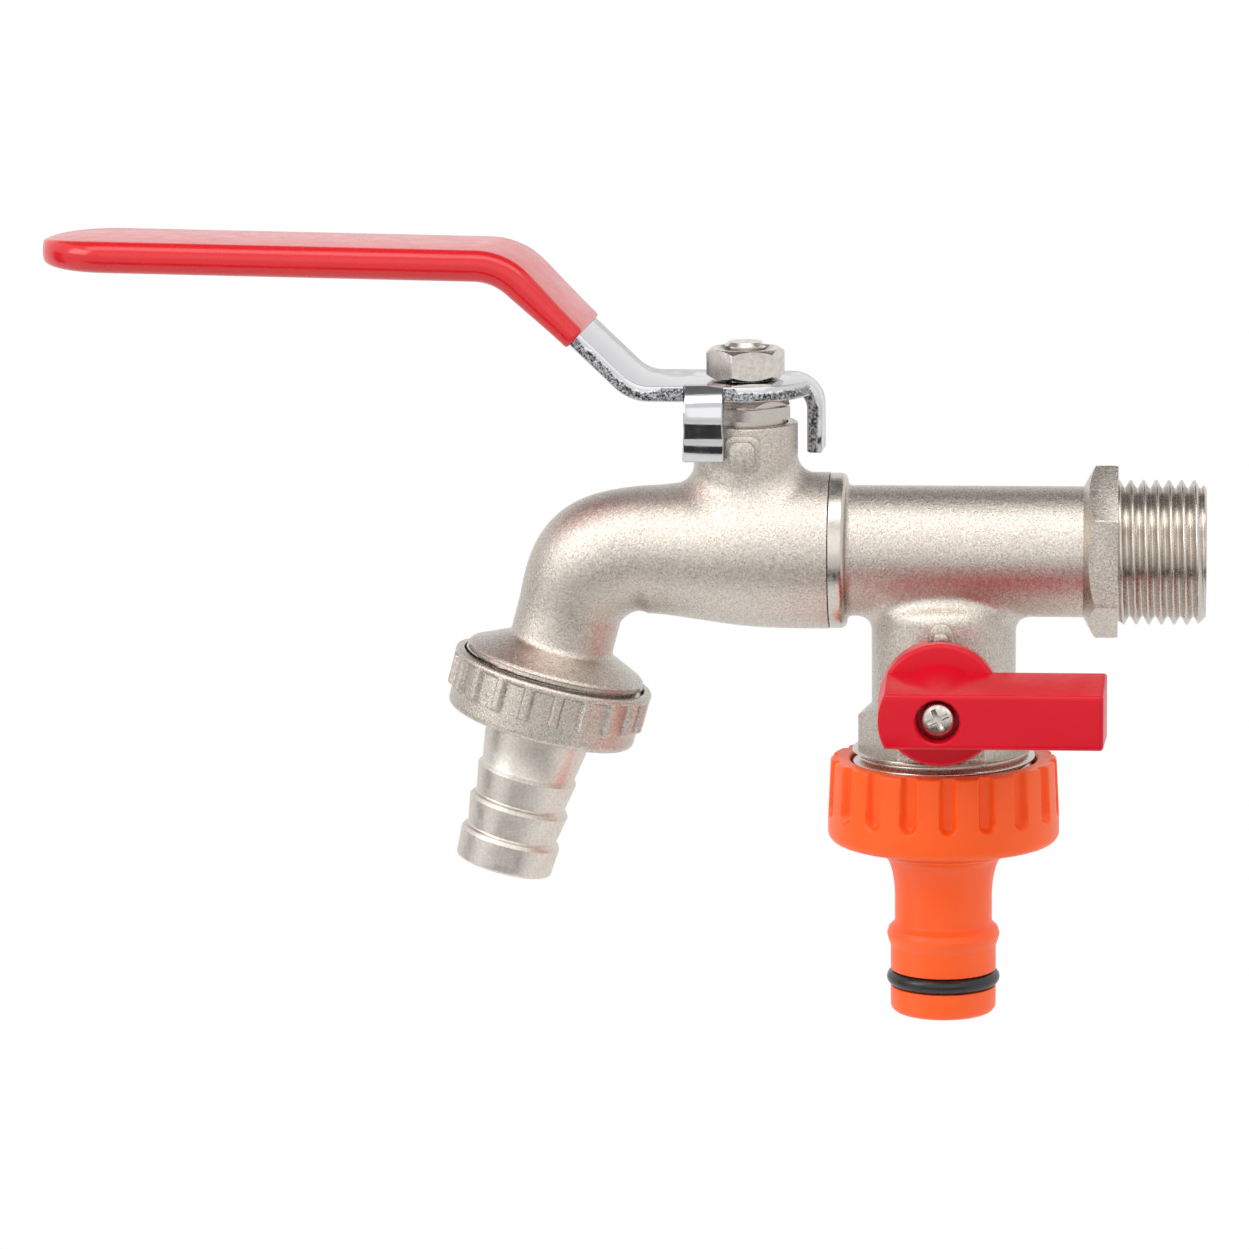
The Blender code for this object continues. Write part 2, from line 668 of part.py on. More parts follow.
def branch_end():
    """The hexagon under the branch tube and the threaded end below it."""
    place = Matrix.Translation((-BRANCH_X, 0.0, 0.0))
    radius = BRANCH_D / 2
    thread_r = OUTLET_THREAD_D / 2
    corner = BRANCH_HEX_AF / math.sqrt(3)
    collar_top = -BRANCH_COLLAR_Z
    end = -BRANCH_END_Z
    hex_foot = collar_top - OVERRUN
    hex_bar = hexagon("branch_hex_bar", BRANCH_HEX_AF, hex_foot, -BRANCH_HEX_TOP_Z, math.pi / 2, offset=place)
    slope = BRANCH_HEX_CHAMFER / (corner - radius + SINK)
    chamfer_end = -BRANCH_HEX_TOP_Z - BRANCH_HEX_CHAMFER - slope * OVERRUN
    blank = turned("branch_hex_blank", [
        (0.0, -BRANCH_HEX_TOP_Z + OVERRUN),
        (radius - SINK, -BRANCH_HEX_TOP_Z),
        (corner + OVERRUN, chamfer_end),
        (corner + OVERRUN, hex_foot - OVERRUN),
        (0.0, hex_foot - OVERRUN),
    ], BODY_STEPS, offset=place)
    keep(hex_bar, blank)
    end_bar = turned("branch_thread", [
        (0.0, collar_top),
        (thread_r - EDGE_BREAK, collar_top),
        (thread_r, collar_top - EDGE_BREAK),
        (thread_r, end + THREAD_DEPTH),
        (thread_r - THREAD_DEPTH, end),
        (0.0, end),
    ], BODY_STEPS, offset=place)
    return hex_bar, end_bar


def stop_lug():
    """The stop in front of the branch: a rounded lug whose nib runs in the handle's channel."""
    turn = Matrix.Rotation(math.pi / 2, 4, 'X')
    place = Matrix.Translation((-BRANCH_X, 0.0, -BRANCH_STEM_Z)) @ turn
    half = STOP_WIDTH / 2
    foot = BRANCH_BOSS_D / 2 - RUN_GAP
    outline = arc((0.0, STOP_TOP - half), half, 0.0, math.pi, 2 * FILLET_STEPS)
    outline += [(-half, foot), (half, foot)]
    back = BRANCH_D / 2 * BRANCH_SHOULDER_SHARE
    front = HANDLE_BACK - RUN_GAP
    middle = Matrix.Translation((0.0, 0.0, (front + back) / 2))
    base = slab("stop_lug", outline, front - back, offset=place @ middle)
    nib_half = STOP_NIB_WIDTH / 2
    nib_front = HANDLE_BACK + STOP_NIB_REACH
    nib = box("stop_nib", (-nib_half, STOP_NIB_FOOT, back), (nib_half, STOP_NIB_TOP, nib_front), offset=place)
    boss = turned("stem_boss", [
        (0.0, BRANCH_BOSS_FACE), (BRANCH_BOSS_D / 2 - RUN_GAP, BRANCH_BOSS_FACE),
        (BRANCH_BOSS_D / 2, BRANCH_BOSS_FACE - RUN_GAP), (BRANCH_BOSS_D / 2, back), (0.0, back),
    ], SMALL_STEPS, offset=place)
    return base, nib, boss


def inlet_bores():
    """Everything that is bored out of the inlet body."""
    main = turned("inlet_bore", [
        (0.0, INLET_THREAD_LENGTH + OVERRUN), (INLET_BORE_D / 2, INLET_THREAD_LENGTH + OVERRUN),
        (INLET_BORE_D / 2, JOINT_X + COLLAR_LENGTH + BODY_WALL),
        (SPIGOT_BORE_D / 2, JOINT_X + COLLAR_LENGTH),
        (SPIGOT_BORE_D / 2, SPIGOT_END_X - OVERRUN), (0.0, SPIGOT_END_X - OVERRUN),
    ], SMALL_STEPS, offset=ALONG_X)
    place = Matrix.Translation((-BRANCH_X, 0.0, 0.0))
    cavity_top = -BRANCH_STEM_Z + BRANCH_SEAT_BACK + FACE_GAP
    branch = turned("branch_bore", [
        (0.0, 0.0), (BRANCH_PASSAGE_D / 2, 0.0), (BRANCH_PASSAGE_D / 2, cavity_top),
        (BRANCH_CAVITY_D / 2, cavity_top), (BRANCH_CAVITY_D / 2, -BRANCH_END_Z - OVERRUN),
        (0.0, -BRANCH_END_Z - OVERRUN),
    ], RING_STEPS, offset=place)
    turn = Matrix.Rotation(math.pi / 2, 4, 'X')
    stem_place = Matrix.Translation((-BRANCH_X, 0.0, -BRANCH_STEM_Z)) @ turn
    collar_seat = BRANCH_BALL_D / 2 + RUN_GAP + BRANCH_STEM_COLLAR_HEIGHT + FACE_GAP
    stem = turned("branch_stem_bore", [
        (0.0, BRANCH_BOSS_FACE + OVERRUN), (BRANCH_STEM_D / 2 + RUN_GAP, BRANCH_BOSS_FACE + OVERRUN),
        (BRANCH_STEM_D / 2 + RUN_GAP, collar_seat), (BRANCH_STEM_COLLAR_D / 2 + RUN_GAP, collar_seat),
        (BRANCH_STEM_COLLAR_D / 2 + RUN_GAP, 0.0), (0.0, 0.0),
    ], SMALL_STEPS, offset=stem_place)
    return main, branch, stem


def make_inlet_body():
    body = inlet_barrel()
    join(body, inlet_hexagon(), branch_foot(), *branch_end(), *stop_lug())
    cut(body, *inlet_bores())
    return finish(body, NICKEL)


# Spout body: ball housing, stem neck, bend, dome and threaded outlet

def stem_neck():
    """The stem housing, blended by a cast fillet that follows the round body."""
    radius = NECK_D / 2
    angles = [2 * math.pi * i / BODY_STEPS for i in range(BODY_STEPS)]

    def ring_at(r, lift):
        points = []
        for a in angles:
            x, y = r * math.cos(a), r * math.sin(a)
            surface = math.sqrt(body_radius(STEM_X + x) ** 2 - y ** 2)
            points.append((x, y, surface - SINK + lift))
        return points

    rings = [ring_at(radius + NECK_FILLET_R, -BODY_WALL / 2)]
    for i in range(FILLET_STEPS + 1):
        lean = math.pi / 2 * i / FILLET_STEPS
        spread = NECK_FILLET_R * (1 - math.sin(lean))
        rings.append(ring_at(radius + spread, NECK_FILLET_R * (1 - math.cos(lean))))
    for r, z in ((radius, NECK_TOP_Z - EDGE_BREAK), (radius - EDGE_BREAK, NECK_TOP_Z)):
        rings.append([(r * math.cos(a), r * math.sin(a), z) for a in angles])
    return loft("stem_neck", rings, offset=Matrix.Translation((STEM_X, 0.0, 0.0)))


def rounded_outline(half_width, low, high, corner):
    points = arc((half_width - corner, high - corner), corner, 0.0, math.pi / 2, 2)
    points += arc((corner - half_width, high - corner), corner, math.pi / 2, math.pi, 2)
    points += arc((corner - half_width, low + corner), corner, math.pi, 1.5 * math.pi, 2)
    points += arc((half_width - corner, low + corner), corner, 1.5 * math.pi, 2 * math.pi, 2)
    return points


def neck_lugs():
    """The square stop lug on the neck's front, on its low pad."""
    turn = Matrix.Rotation(math.pi / 2, 4, 'X')
    neck_r = NECK_D / 2
    low = LUG_TOP_Z - LUG_HEIGHT
    half = LUG_WIDTH / 2
    lug_front = neck_r + LUG_REACH
    lug_back = neck_r - LUG_REACH / 2
    lug_place = Matrix.Translation((STEM_X, -(lug_front + lug_back) / 2, 0.0)) @ turn
    lug_outline = rounded_outline(half, low, LUG_TOP_Z, half / 2)
    lug = slab("neck_lug", lug_outline, lug_front - lug_back, offset=lug_place)
    wide = half + LUG_PAD_MARGIN
    pad_front = neck_r + LUG_PAD_HEIGHT
    pad_place = Matrix.Translation((STEM_X, -(pad_front + lug_back) / 2, 0.0)) @ turn
    outline = rounded_outline(wide, low - LUG_PAD_MARGIN, LUG_TOP_Z + LUG_PAD_MARGIN, half / 2)
    pad = slab("neck_lug_pad", outline, pad_front - lug_back, offset=pad_place)
    return pad, lug


def outlet_dome(axis):
    throat = SPOUT_THROAT_D / 2
    thread_r = OUTLET_THREAD_D / 2
    groove = thread_r - DOME_GROOVE_DEPTH
    profile = [
        (0.0, -DOME_START),
        (throat, -DOME_START),
        (thread_r - DOME_EDGE, -DOME_END + DOME_EDGE),
        (thread_r, -DOME_END),
        (groove, -DOME_END),
        (groove, -DOME_END - DOME_GROOVE),
        (thread_r, -DOME_END - DOME_GROOVE),
        (thread_r, -SPOUT_END + THREAD_DEPTH),
        (thread_r - THREAD_DEPTH, -SPOUT_END),
        (0.0, -SPOUT_END),
    ]
    return turned("outlet_dome", profile, BODY_STEPS, axis)


def spout_bores(axis):
    cavity_end = STEM_X - SEAT_BACK - FACE_GAP
    cavity = turned("ball_cavity", [
        (0.0, JOINT_X + OVERRUN), (BALL_CAVITY_D / 2, JOINT_X + OVERRUN), (BALL_CAVITY_D / 2, cavity_end),
        (0.0, cavity_end),
    ], BODY_STEPS, offset=ALONG_X)
    points, radii = spout_centreline(cavity_end + OVERRUN, lambda x: WATERWAY_D / 2, WATERWAY_D / 2)
    down = Vector((-math.sin(OUTLET_TILT), 0.0, -math.cos(OUTLET_TILT)))
    points.append(Vector((CORNER_X, 0.0, 0.0)) + down * (SPOUT_END + OVERRUN))
    radii.append(WATERWAY_D / 2)
    waterway = swept("waterway", points, radii, SMALL_STEPS)
    stem = turned("stem_bore", [
        (0.0, NECK_TOP_Z + OVERRUN), (GLAND_THREAD_D / 2 + RUN_GAP, NECK_TOP_Z + OVERRUN),
        (GLAND_THREAD_D / 2 + RUN_GAP, PACKING_FLOOR_Z), (STEM_D / 2 + RUN_GAP, PACKING_FLOOR_Z),
        (STEM_D / 2 + RUN_GAP, BRIDGE_Z), (STEM_COLLAR_D / 2 + RUN_GAP, BRIDGE_Z),
        (STEM_COLLAR_D / 2 + RUN_GAP, 0.0), (0.0, 0.0),
    ], SMALL_STEPS, offset=Matrix.Translation((STEM_X, 0.0, 0.0)))
    return cavity, waterway, stem


def make_spout_body(axis):
    points, radii = spout_centreline(JOINT_X - FACE_GAP / 2, body_radius, SPOUT_THROAT_D / 2)
    body = swept("spout_body", points, radii, BODY_STEPS)
    join(body, stem_neck(), *neck_lugs(), outlet_dome(axis))
    cut(body, *spout_bores(axis))
    return finish(body, NICKEL)


# Main ball valve

def seat_section(ball_d, bore_d, seat_d, back, thickness):
    """Half section of a seat above the ball: its face follows the ball."""
    reach = ball_d / 2 + RUN_GAP
    front = back - thickness
    outer = math.sqrt(reach ** 2 - front ** 2)
    inner = bore_d / 2 + RUN_GAP
    start = math.asin(inner / reach)
    end = math.asin(outer / reach)
    section = [(inner, back), (seat_d / 2, back), (seat_d / 2, front)]
    for i in range(FILLET_STEPS + 1):
        angle = end + (start - end) * i / FILLET_STEPS
        section.append((reach * math.sin(angle), reach * math.cos(angle)))
    return section


def make_main_seats():
    section = seat_section(BALL_D, BALL_BORE_D, SEAT_D, SEAT_BACK, SEAT_THICKNESS)
    for name, turn in (("main_seat_inlet", math.pi / 2), ("main_seat_outlet", -math.pi / 2)):
        place = Matrix.Translation((STEM_X, 0.0, 0.0)) @ Matrix.Rotation(turn, 4, 'Y')
        finish(turned(name, section, BODY_STEPS, offset=place, closed=True), SEAL_WHITE)


def make_main_ball(axis):
    made = ball("main_ball", BALL_D, axis)
    bore = turned("main_ball_bore", [
        (0.0, BALL_D), (BALL_BORE_D / 2, BALL_D), (BALL_BORE_D / 2, -BALL_D), (0.0, -BALL_D),
    ], SMALL_STEPS, axis, ALONG_X)
    half = BALL_SLOT_WIDTH / 2
    floor = BALL_D / 2 - BALL_SLOT_DEPTH
    slot = box("main_ball_slot", (-half, -BALL_D, floor), (half, BALL_D, BALL_D), axis)
    cut(made, bore, slot)
    return finish(made, BRIGHT_STEEL)


def flatted(name, profile, flats, low, high, axis):
    """A turned stem with two flats between two heights."""
    made = turned(name, profile, SMALL_STEPS, axis)
    reach = max(r for r, z in profile) + OVERRUN
    for side in (-1, 1):
        near, far = sorted((side * flats / 2, side * reach))
        cut(made, box(name + "_flat", (-reach, near, low), (reach, far, high), axis))
    return made


def make_main_stem(axis):
    radius = STEM_D / 2
    tang_foot = BALL_D / 2 - BALL_SLOT_DEPTH + RUN_GAP
    collar_top = STEM_COLLAR_Z + STEM_COLLAR_HEIGHT
    profile = [
        (0.0, STEM_END_Z),
        (STEM_TOP_D / 2 - EDGE_BREAK, STEM_END_Z),
        (STEM_TOP_D / 2, STEM_END_Z - EDGE_BREAK),
        (STEM_TOP_D / 2, PLATE_TOP_Z - RUN_GAP),
        (radius, PLATE_TOP_Z - RUN_GAP),
        (radius, collar_top),
        (STEM_COLLAR_D / 2, collar_top),
        (STEM_COLLAR_D / 2, STEM_COLLAR_Z),
        (STEM_TANG_LENGTH / 2, STEM_COLLAR_Z),
        (STEM_TANG_LENGTH / 2, tang_foot),
        (0.0, tang_foot),
    ]
    flats_low, flats_high = PLATE_UNDERSIDE_Z - FACE_GAP, PLATE_TOP_Z + FACE_GAP
    made = flatted("main_stem", profile, STEM_FLATS, flats_low, flats_high, axis)
    reach = STEM_TANG_LENGTH
    low = tang_foot - OVERRUN
    for side in (-1, 1):
        near, far = sorted((side * (BALL_SLOT_WIDTH / 2 - RUN_GAP), side * reach))
        cut(made, box("main_tang_side", (near, -reach, low), (far, reach, STEM_COLLAR_Z), axis))
    return finish(made, BRASS)


def make_stem_seals():
    place = Matrix.Translation((STEM_X, 0.0, 0.0))
    bore = STEM_D + 2 * RUN_GAP
    for name, diameter, low, height in (
        ("stem_thrust_washer", STEM_COLLAR_D, THRUST_Z, THRUST_WASHER_HEIGHT),
        ("stem_packing", GLAND_THREAD_D, PACKING_FLOOR_Z + FACE_GAP, PACKING_HEIGHT),
    ):
        ring(name, diameter, bore, low, low + height, SEAL_WHITE, None, offset=place)


def make_gland_nut():
    place = Matrix.Translation((STEM_X, 0.0, 0.0))
    top = GLAND_HEX_Z + GLAND_HEX_HEIGHT
    flat = GLAND_HEX_AF / 2
    made = hexagon("gland_nut", GLAND_HEX_AF, GLAND_HEX_Z, top, GLAND_HEX_TURN, offset=place)
    chamfer = GLAND_HEX_HEIGHT * GLAND_CHAMFER_SHARE
    blank_foot = GLAND_HEX_Z - OVERRUN
    keep(made, hex_corner_cone("gland_blank", GLAND_HEX_AF, blank_foot, top, 0.0, chamfer, offset=place))
    thread_r = GLAND_THREAD_D / 2
    thread_top = GLAND_HEX_Z + GLAND_HEX_HEIGHT / 2
    join(made, turned("gland_thread", [
        (0.0, thread_top), (thread_r, thread_top), (thread_r, GLAND_FOOT_Z), (0.0, GLAND_FOOT_Z),
    ], SMALL_STEPS, offset=place))
    groove_z = GLAND_HEX_Z + GLAND_HEX_HEIGHT * GLAND_GROOVE_SHARE
    wide = flat * 2
    groove_top = groove_z + GLAND_GROOVE_HEIGHT
    floor = flat - GLAND_GROOVE_DEPTH
    groove = turned("gland_groove", [
        (floor, groove_top), (wide, groove_top), (wide, groove_z), (floor, groove_z),
    ], SMALL_STEPS, offset=place, closed=True)
    bore_r = STEM_D / 2 + RUN_GAP
    low = GLAND_FOOT_Z - OVERRUN
    bore = turned("gland_bore", [
        (0.0, top + OVERRUN), (bore_r, top + OVERRUN), (bore_r, low), (0.0, low),
    ], SMALL_STEPS, offset=place)
    cut(made, groove, bore)
    return finish(made, NICKEL)


# Lever

def lever_path(end_reach):
    """Centreline of the lever strip: (distance along it, x, z, slope angle), x running to -X."""
    flat_z = PLATE_UNDERSIDE_Z + STRIP_THICKNESS / 2
    foot = Vector((-LEVER_RISE_X, flat_z))
    top = foot + Vector((-LEVER_LIFT / math.tan(LEVER_RISE_ANGLE), LEVER_LIFT))
    first_t = LEVER_FOOT_BEND_R * math.tan(LEVER_RISE_ANGLE / 2)
    second_turn = LEVER_RISE_ANGLE - GRIP_SLOPE
    second_t = LEVER_TOP_BEND_R * math.tan(second_turn / 2)
    points = [(Vector((STRIP_WIDTH, flat_z)), 0.0)]
    start = foot + Vector((first_t, 0.0))
    for i in range(BEND_STEPS + 1):
        angle = LEVER_RISE_ANGLE * i / BEND_STEPS
        offset = Vector((-math.sin(angle), 1 - math.cos(angle))) * LEVER_FOOT_BEND_R
        points.append((start + offset, angle))
    rise = Vector((-math.cos(LEVER_RISE_ANGLE), math.sin(LEVER_RISE_ANGLE)))
    second = top - rise * second_t
    centre = second - Vector((math.sin(LEVER_RISE_ANGLE), math.cos(LEVER_RISE_ANGLE))) * LEVER_TOP_BEND_R
    for i in range(BEND_STEPS + 1):
        angle = LEVER_RISE_ANGLE - second_turn * i / BEND_STEPS
        offset = Vector((math.sin(angle), math.cos(angle))) * LEVER_TOP_BEND_R
        points.append((centre + offset, angle))
    last = points[-1][0]
    run = (end_reach + last.x) / math.cos(GRIP_SLOPE)
    points.append((last + Vector((-math.cos(GRIP_SLOPE), math.sin(GRIP_SLOPE))) * run, GRIP_SLOPE))
    path = []
    travelled = 0.0
    for i, (place, angle) in enumerate(points):
        if i > 0:
            travelled += (place - points[i - 1][0]).length
        path.append((travelled, place.x, place.y, angle))
    return path


def strip_side_outline(path, half):
    upper = [(x + half * math.sin(a), z + half * math.cos(a)) for s, x, z, a in path]
    lower = [(x - half * math.sin(a), z - half * math.cos(a)) for s, x, z, a in path]
    return upper + lower[::-1]


def rounded_plan(width, reach):
    """Plan of a strip from a round end about the stem to a round tip at -X."""
    r = width / 2
    points = arc((0.0, 0.0), r, -math.pi / 2, math.pi / 2, 2 * BEND_STEPS)
    return points + arc((r - reach, 0.0), r, math.pi / 2, 1.5 * math.pi, 2 * BEND_STEPS)


def strip_between(name, width, thickness, reach, axis):
    """The lever's bent strip, trimmed to its rounded plan."""
    upright = Matrix.Rotation(math.pi / 2, 4, 'X')
    outline = strip_side_outline(lever_path(reach + OVERRUN), thickness / 2)
    made = slab(name, outline, width + 2 * OVERRUN, axis, upright)
    middle = Matrix.Translation((0.0, 0.0, PLATE_UNDERSIDE_Z - OVERRUN + LEVER_TALL / 2))
    keep(made, slab(name + "_plan", rounded_plan(width, reach), LEVER_TALL, axis, middle))
    return made


def tab_outline(face, end_z, kick):
    """Side of a stop tab: out of the plate, round the bend and down, as (outward, up) points."""
    outer_r = TAB_BEND_R + STRIP_THICKNESS
    centre = (face - outer_r, PLATE_TOP_Z - outer_r)
    root = centre[0] - STRIP_THICKNESS
    outer = arc(centre, outer_r, math.pi / 2, 0.0, BEND_STEPS // 2)
    inner = arc(centre, TAB_BEND_R, 0.0, math.pi / 2, BEND_STEPS // 2)
    end = [(face + kick, end_z), (face + kick - STRIP_THICKNESS, end_z)]
    return [(root, PLATE_TOP_Z)] + outer + end + inner + [(root, PLATE_UNDERSIDE_Z)]


def make_lever_arm(axis):
    steel_end = LEVER_REACH - SLEEVE_TIP_WALL - SLEEVE_FIT
    made = strip_between("lever_arm", STRIP_WIDTH, STRIP_THICKNESS, steel_end, axis)
    upright = Matrix.Rotation(math.pi / 2, 4, 'X')
    sideways = Matrix(((0, 0, -1, 0), (-1, 0, 0, 0), (0, 1, 0, 0), (0, 0, 0, 1)))
    front_place = Matrix.Translation((-FRONT_TAB_INNER - FRONT_TAB_WIDTH / 2, 0.0, 0.0)) @ sideways
    front_side = tab_outline(FRONT_TAB_FACE, FRONT_TAB_END_Z, FRONT_TAB_KICK)
    rear_place = Matrix.Translation((0.0, REAR_TAB_START + REAR_TAB_WIDTH / 2, 0.0)) @ upright
    rear_side = tab_outline(REAR_TAB_FACE, REAR_TAB_END_Z, 0.0)
    join(made, slab("front_tab", front_side, FRONT_TAB_WIDTH, axis, front_place),
         slab("rear_tab", rear_side, REAR_TAB_WIDTH, axis, rear_place))
    hole_r = STEM_D / 2 + RUN_GAP
    low, high = PLATE_UNDERSIDE_Z - OVERRUN, PLATE_TOP_Z + OVERRUN
    hole = [(0.0, high), (hole_r, high), (hole_r, low), (0.0, low)]
    flats = STEM_FLATS + 2 * RUN_GAP
    cut(made, flatted("lever_hole", hole, flats, low - OVERRUN, high + OVERRUN, axis))
    return finish(made, BRIGHT_STEEL)


def grip_rings(width, thickness_at, start, reach):
    """Rounded rectangles square to the lever's centreline, drawn in to a round tip."""
    path = lever_path(reach)
    total = path[-1][0]
    stations = [start] + [s for s, x, z, a in path if start < s < total - width / 2]
    leans = [math.pi / 2 * i / TIP_STEPS for i in range(TIP_STEPS + 1)]
    stations += [total - width / 2 * (1 - math.sin(lean)) for lean in leans]
    rings = []
    for station in sorted(set(stations)):
        for (s0, x0, z0, a0), (s1, x1, z1, a1) in zip(path, path[1:]):
            if s0 <= station <= s1:
                break
        share = (station - s0) / (s1 - s0)
        x, z, a = x0 + (x1 - x0) * share, z0 + (z1 - z0) * share, a0 + (a1 - a0) * share
        to_tip = min(max((total - station) / (width / 2), 0.0), 1.0)
        narrow = math.sqrt(max(1 - (1 - to_tip) ** 2, 0.0))
        thick = thickness_at(station)
        corner_gain = SLEEVE_CORNER_SHARE - SLEEVE_TIP_CORNER_SHARE
        corner = thick * (SLEEVE_TIP_CORNER_SHARE + corner_gain * narrow)
        half_w = max(width / 2 * narrow, corner)
        half_t = thick / 2 * (SLEEVE_TIP_THICKNESS_SHARE + (1 - SLEEVE_TIP_THICKNESS_SHARE) * narrow)
        corner = min(corner, half_t)
        section = rounded_outline(half_w, -half_t, half_t, corner)
        rings.append([(x + v * math.sin(a), u, z + v * math.cos(a)) for u, v in section])
    return rings


def make_lever_sleeve(axis):

    def outer_thickness(station):
        share = min(max((station - SLEEVE_MOUTH_STATION) / SLEEVE_SWELL_LENGTH, 0.0), 1.0)
        return SLEEVE_MOUTH_THICKNESS + (SLEEVE_THICKNESS - SLEEVE_MOUTH_THICKNESS) * share

    rings = grip_rings(SLEEVE_WIDTH, outer_thickness, SLEEVE_MOUTH_STATION, LEVER_REACH)
    made = loft("lever_sleeve", rings, axis)
    fit = 2 * SLEEVE_FIT
    steel_end = LEVER_REACH - SLEEVE_TIP_WALL
    cut(made, strip_between("sleeve_hollow", STRIP_WIDTH + fit, STRIP_THICKNESS + fit, steel_end, axis))
    return finish(made, SLEEVE_RED)


def make_lever_nut(axis):
    low = PLATE_TOP_Z + FACE_GAP
    high = low + LEVER_NUT_HEIGHT
    chamfer = LEVER_NUT_HEIGHT * HEX_CHAMFER_SHARE
    made = hexagon("lever_nut", LEVER_NUT_AF, low, high, LEVER_NUT_TURN - LEVER_OPEN_TURN, axis)
    keep(made, hex_corner_cone("lever_nut_blank", LEVER_NUT_AF, low, high, chamfer, chamfer, axis))
    bore_r = STEM_TOP_D / 2 + RUN_GAP
    cut(made, turned("lever_nut_bore", [
        (0.0, high + OVERRUN), (bore_r, high + OVERRUN), (bore_r, low - OVERRUN), (0.0, low - OVERRUN),
    ], SMALL_STEPS, axis))
    return finish(made, NICKEL)


# Union nut, hose tail and washer, on the tilted outlet axis

def ridge_gaps(name, count, ridge_share, floor_r, outer_r, low, high, turn, frame):
    """One cutter for the pockets between a nut's ridges."""
    work = bmesh.new()
    width = 2 * math.pi * outer_r / count * (1 - ridge_share)
    for i in range(count):
        cube = bmesh.ops.create_cube(work, size=1.0)["verts"]
        depth = outer_r - floor_r + OVERRUN
        size = Matrix.Diagonal((width, depth, high - low, 1.0))
        place = Matrix.Translation((0.0, -floor_r - depth / 2, (low + high) / 2))
        spin = Matrix.Rotation(turn + 2 * math.pi * (i + 0.5) / count, 4, 'Z')
        bmesh.ops.transform(work, matrix=spin @ place @ size, verts=cube)
    mesh = bpy.data.meshes.new(name)
    work.to_mesh(mesh)
    work.free()
    return add(name, mesh, frame)


def make_union_nut(axis):
    outer = UNION_D / 2
    band = UNION_BAND_D / 2
    top = -UNION_TOP
    foot = top - UNION_HEIGHT
    ledge = foot + UNION_BAND_HEIGHT
    made = turned("union_nut", [
        (0.0, top),
        (outer - UNION_EDGE, top),
        (outer, top - UNION_EDGE),
        (outer, ledge + UNION_EDGE),
        (band, ledge),
        (band, foot + UNION_EDGE),
        (band - UNION_EDGE, foot),
        (0.0, foot),
    ], NUT_STEPS, axis)
    pockets = ridge_gaps("union_pockets", UNION_RIDGES, UNION_RIDGE_SHARE, band, outer,
                         ledge - UNION_EDGE, top - UNION_RIM_HEIGHT, UNION_TURN, axis)
    hollow_r = NUT_HOLLOW_D / 2
    mouth = TAIL_ROOT_D / 2 + RUN_GAP
    hollow = turned("union_hollow", [
        (0.0, top + OVERRUN), (hollow_r, top + OVERRUN), (hollow_r, UNION_LIP_Z), (mouth, UNION_LIP_Z),
        (mouth, foot - OVERRUN), (0.0, foot - OVERRUN),
    ], BODY_STEPS, axis)
    cut(made, pockets, hollow)
    return finish(made, NICKEL)


def make_hose_tail(axis):
    flange_foot = UNION_LIP_Z + FACE_GAP
    flange_top = flange_foot + TAIL_FLANGE_HEIGHT
    flange_r = TAIL_FLANGE_D / 2
    waist = TAIL_WAIST_D / 2
    barb = TAIL_BARB_D / 2
    lead = (barb - waist) * TAIL_BARB_LEAD_SHARE
    bore = TAIL_BORE_D / 2
    root = TAIL_ROOT_D / 2
    profile = [(bore, flange_top), (flange_r, flange_top), (flange_r, flange_foot), (root, flange_foot)]
    for i in range(TAIL_BARBS):
        ridge = -(TAIL_FIRST_BARB + i * TAIL_BARB_STEP)
        profile += [(waist + lead, ridge + TAIL_BARB_RISE), (barb, ridge)]
    end_centre = (barb - lead - TAIL_END_ROUND, -TAIL_END + TAIL_END_ROUND)
    profile += arc(end_centre, TAIL_END_ROUND, 0.0, -math.pi / 2, FILLET_STEPS)
    profile += [(bore, -TAIL_END)]
    return finish(turned("hose_tail", profile, BODY_STEPS, axis, closed=True), NICKEL)


def make_tail_washer(axis):
    low = UNION_LIP_Z + TAIL_FLANGE_HEIGHT + 2 * FACE_GAP
    high = low + TAIL_WASHER_HEIGHT
    outer = TAIL_FLANGE_D - 2 * WASHER_INSET
    ring("hose_tail_washer", outer, TAIL_BORE_D, low, high, BLACK_RUBBER, axis, BODY_STEPS)


# Branch ball valve

def make_branch_seats():
    section = seat_section(BRANCH_BALL_D, BRANCH_BALL_BORE_D, BRANCH_SEAT_D, BRANCH_SEAT_BACK,
                           BRANCH_SEAT_THICKNESS)
    for name, turn in (("branch_seat_upper", 0.0), ("branch_seat_lower", math.pi)):
        place = Matrix.Translation((-BRANCH_X, 0.0, -BRANCH_STEM_Z)) @ Matrix.Rotation(turn, 4, 'X')
        finish(turned(name, section, RING_STEPS, offset=place, closed=True), SEAL_WHITE)


def make_branch_retainer():
    """The slotted ring screwed in below the lower seat."""
    place = Matrix.Translation((-BRANCH_X, 0.0, 0.0))
    top = -BRANCH_STEM_Z - BRANCH_SEAT_BACK - FACE_GAP
    foot = top - RETAINER_HEIGHT
    outer, bore = BRANCH_SEAT_D / 2, RETAINER_BORE_D / 2
    section = [(bore, top), (outer, top), (outer, foot), (bore, foot)]
    made = turned("branch_retainer", section, RING_STEPS, offset=place, closed=True)
    wide, half = outer + OVERRUN, RETAINER_SLOT_WIDTH / 2
    slot_top = foot + RETAINER_SLOT_DEPTH
    cut(made, box("retainer_slot", (-wide, -half, foot - OVERRUN), (wide, half, slot_top), offset=place))
    return finish(made, BRASS)


